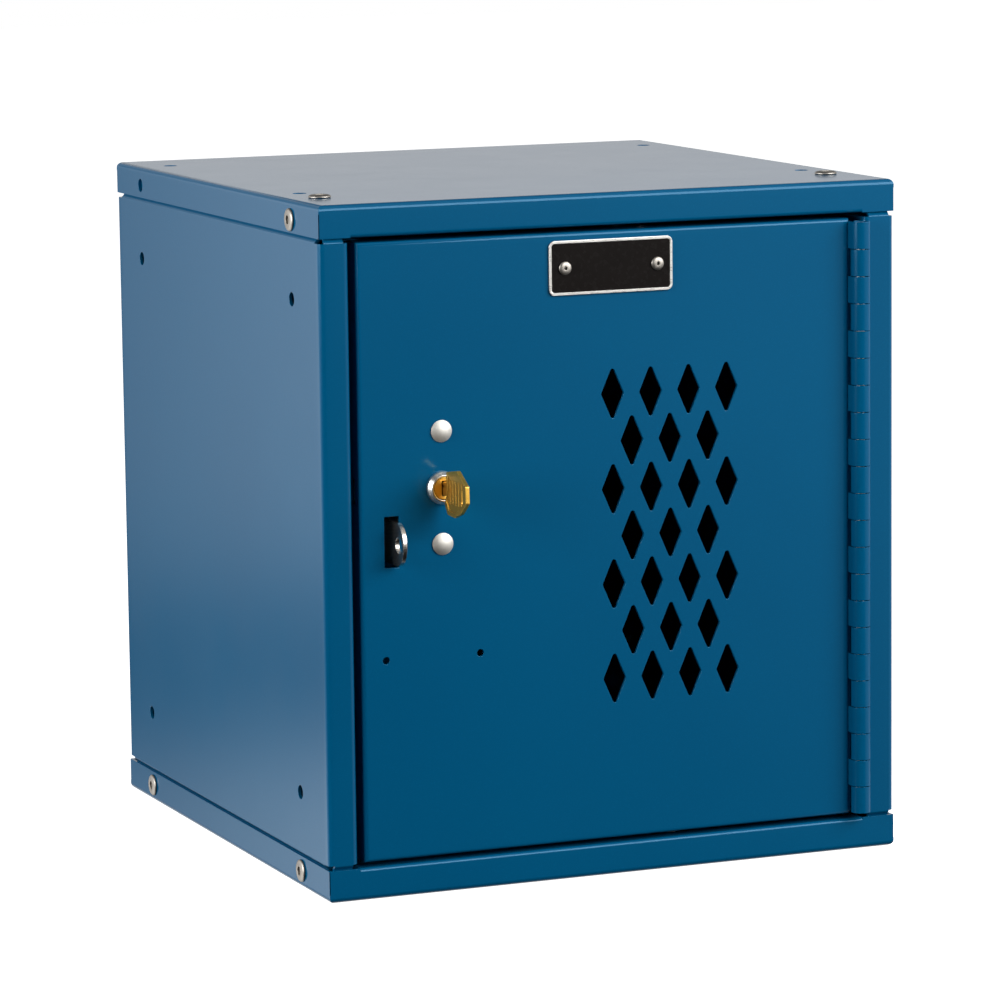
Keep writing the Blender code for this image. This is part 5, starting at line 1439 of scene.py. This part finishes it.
class LOCKER_OT_hinge(bpy.types.Operator):
    """Roll the continuous hinge's two leaves round their pin"""

    bl_idname = "locker.hinge"
    bl_label = "Hinge"

    def execute(self, context):
        hinge_leaf("frame_leaf", False, "hinge_frame_leaf")
        hinge_leaf("door_leaf", True, "hinge_door_leaf")
        hinge_rod()
        return {"FINISHED"}


class LOCKER_OT_lock(bpy.types.Operator):
    """Add the lock's case, bezel, rivets, plug and bolt"""

    bl_idname = "locker.lock"
    bl_label = "Lock"

    def execute(self, context):
        lock_box()
        bezel_ring()
        for node in LOCK_RIVETS:
            lock_rivet(node, node.replace("lock_", "dome_"))
        plug_core()
        bolt_plate()
        return {"FINISHED"}


class LOCKER_OT_key(bpy.types.Operator):
    """Cut the key"""

    bl_idname = "locker.key"
    bl_label = "Key"

    def execute(self, context):
        key_blank()
        return {"FINISHED"}


class LOCKER_OT_hasp(bpy.types.Operator):
    """Bend the padlock hasp, and add its rivets and the door's bumpers"""

    bl_idname = "locker.hasp"
    bl_label = "Hasp and bumpers"

    def execute(self, context):
        hasp_angle()
        rubber_bumpers()
        return {"FINISHED"}


class LOCKER_PT_panel(bpy.types.Panel):
    """The locker's pieces, sizes and finishes"""

    bl_idname = "LOCKER_PT_panel"
    bl_label = "Locker"
    bl_space_type = "VIEW_3D"
    bl_region_type = "UI"
    bl_category = "Locker"

    def draw(self, context):
        layout = self.layout
        layout.use_property_split = True
        for title, group in (
            ("Sheets", sheet_sizes()), ("Holes", hole_sizes()), ("Finish", finishes()),
        ):
            box = layout.box()
            box.label(text=title)
            for name in group.bl_rna.properties.keys():
                if name not in ("rna_type", "name"):
                    box.prop(group, name)
        for operator in OPERATORS:
            layout.operator(operator.bl_idname)


GROUPS = {
    "locker_sheet": LockerSheet, "locker_holes": LockerHoles, "locker_finish": LockerFinish,
}
OPERATORS = (
    LOCKER_OT_stage, LOCKER_OT_body, LOCKER_OT_fasteners, LOCKER_OT_door, LOCKER_OT_hinge,
    LOCKER_OT_lock, LOCKER_OT_key, LOCKER_OT_hasp,
)


def register():
    for made in (*GROUPS.values(), *OPERATORS, LOCKER_PT_panel):
        bpy.utils.register_class(made)
    for name, group in GROUPS.items():
        setattr(bpy.types.Scene, name, PointerProperty(type=group))


def unregister():
    for name in GROUPS:
        delattr(bpy.types.Scene, name)
    for made in reversed((*GROUPS.values(), *OPERATORS, LOCKER_PT_panel)):
        bpy.utils.unregister_class(made)


def main():
    register()
    bpy.ops.locker.stage()
    bpy.ops.locker.body()
    bpy.ops.locker.fasteners()
    bpy.ops.locker.door()
    bpy.ops.locker.hinge()
    bpy.ops.locker.lock()
    bpy.ops.locker.key()
    bpy.ops.locker.hasp()


if __name__ == "__main__":
    main()
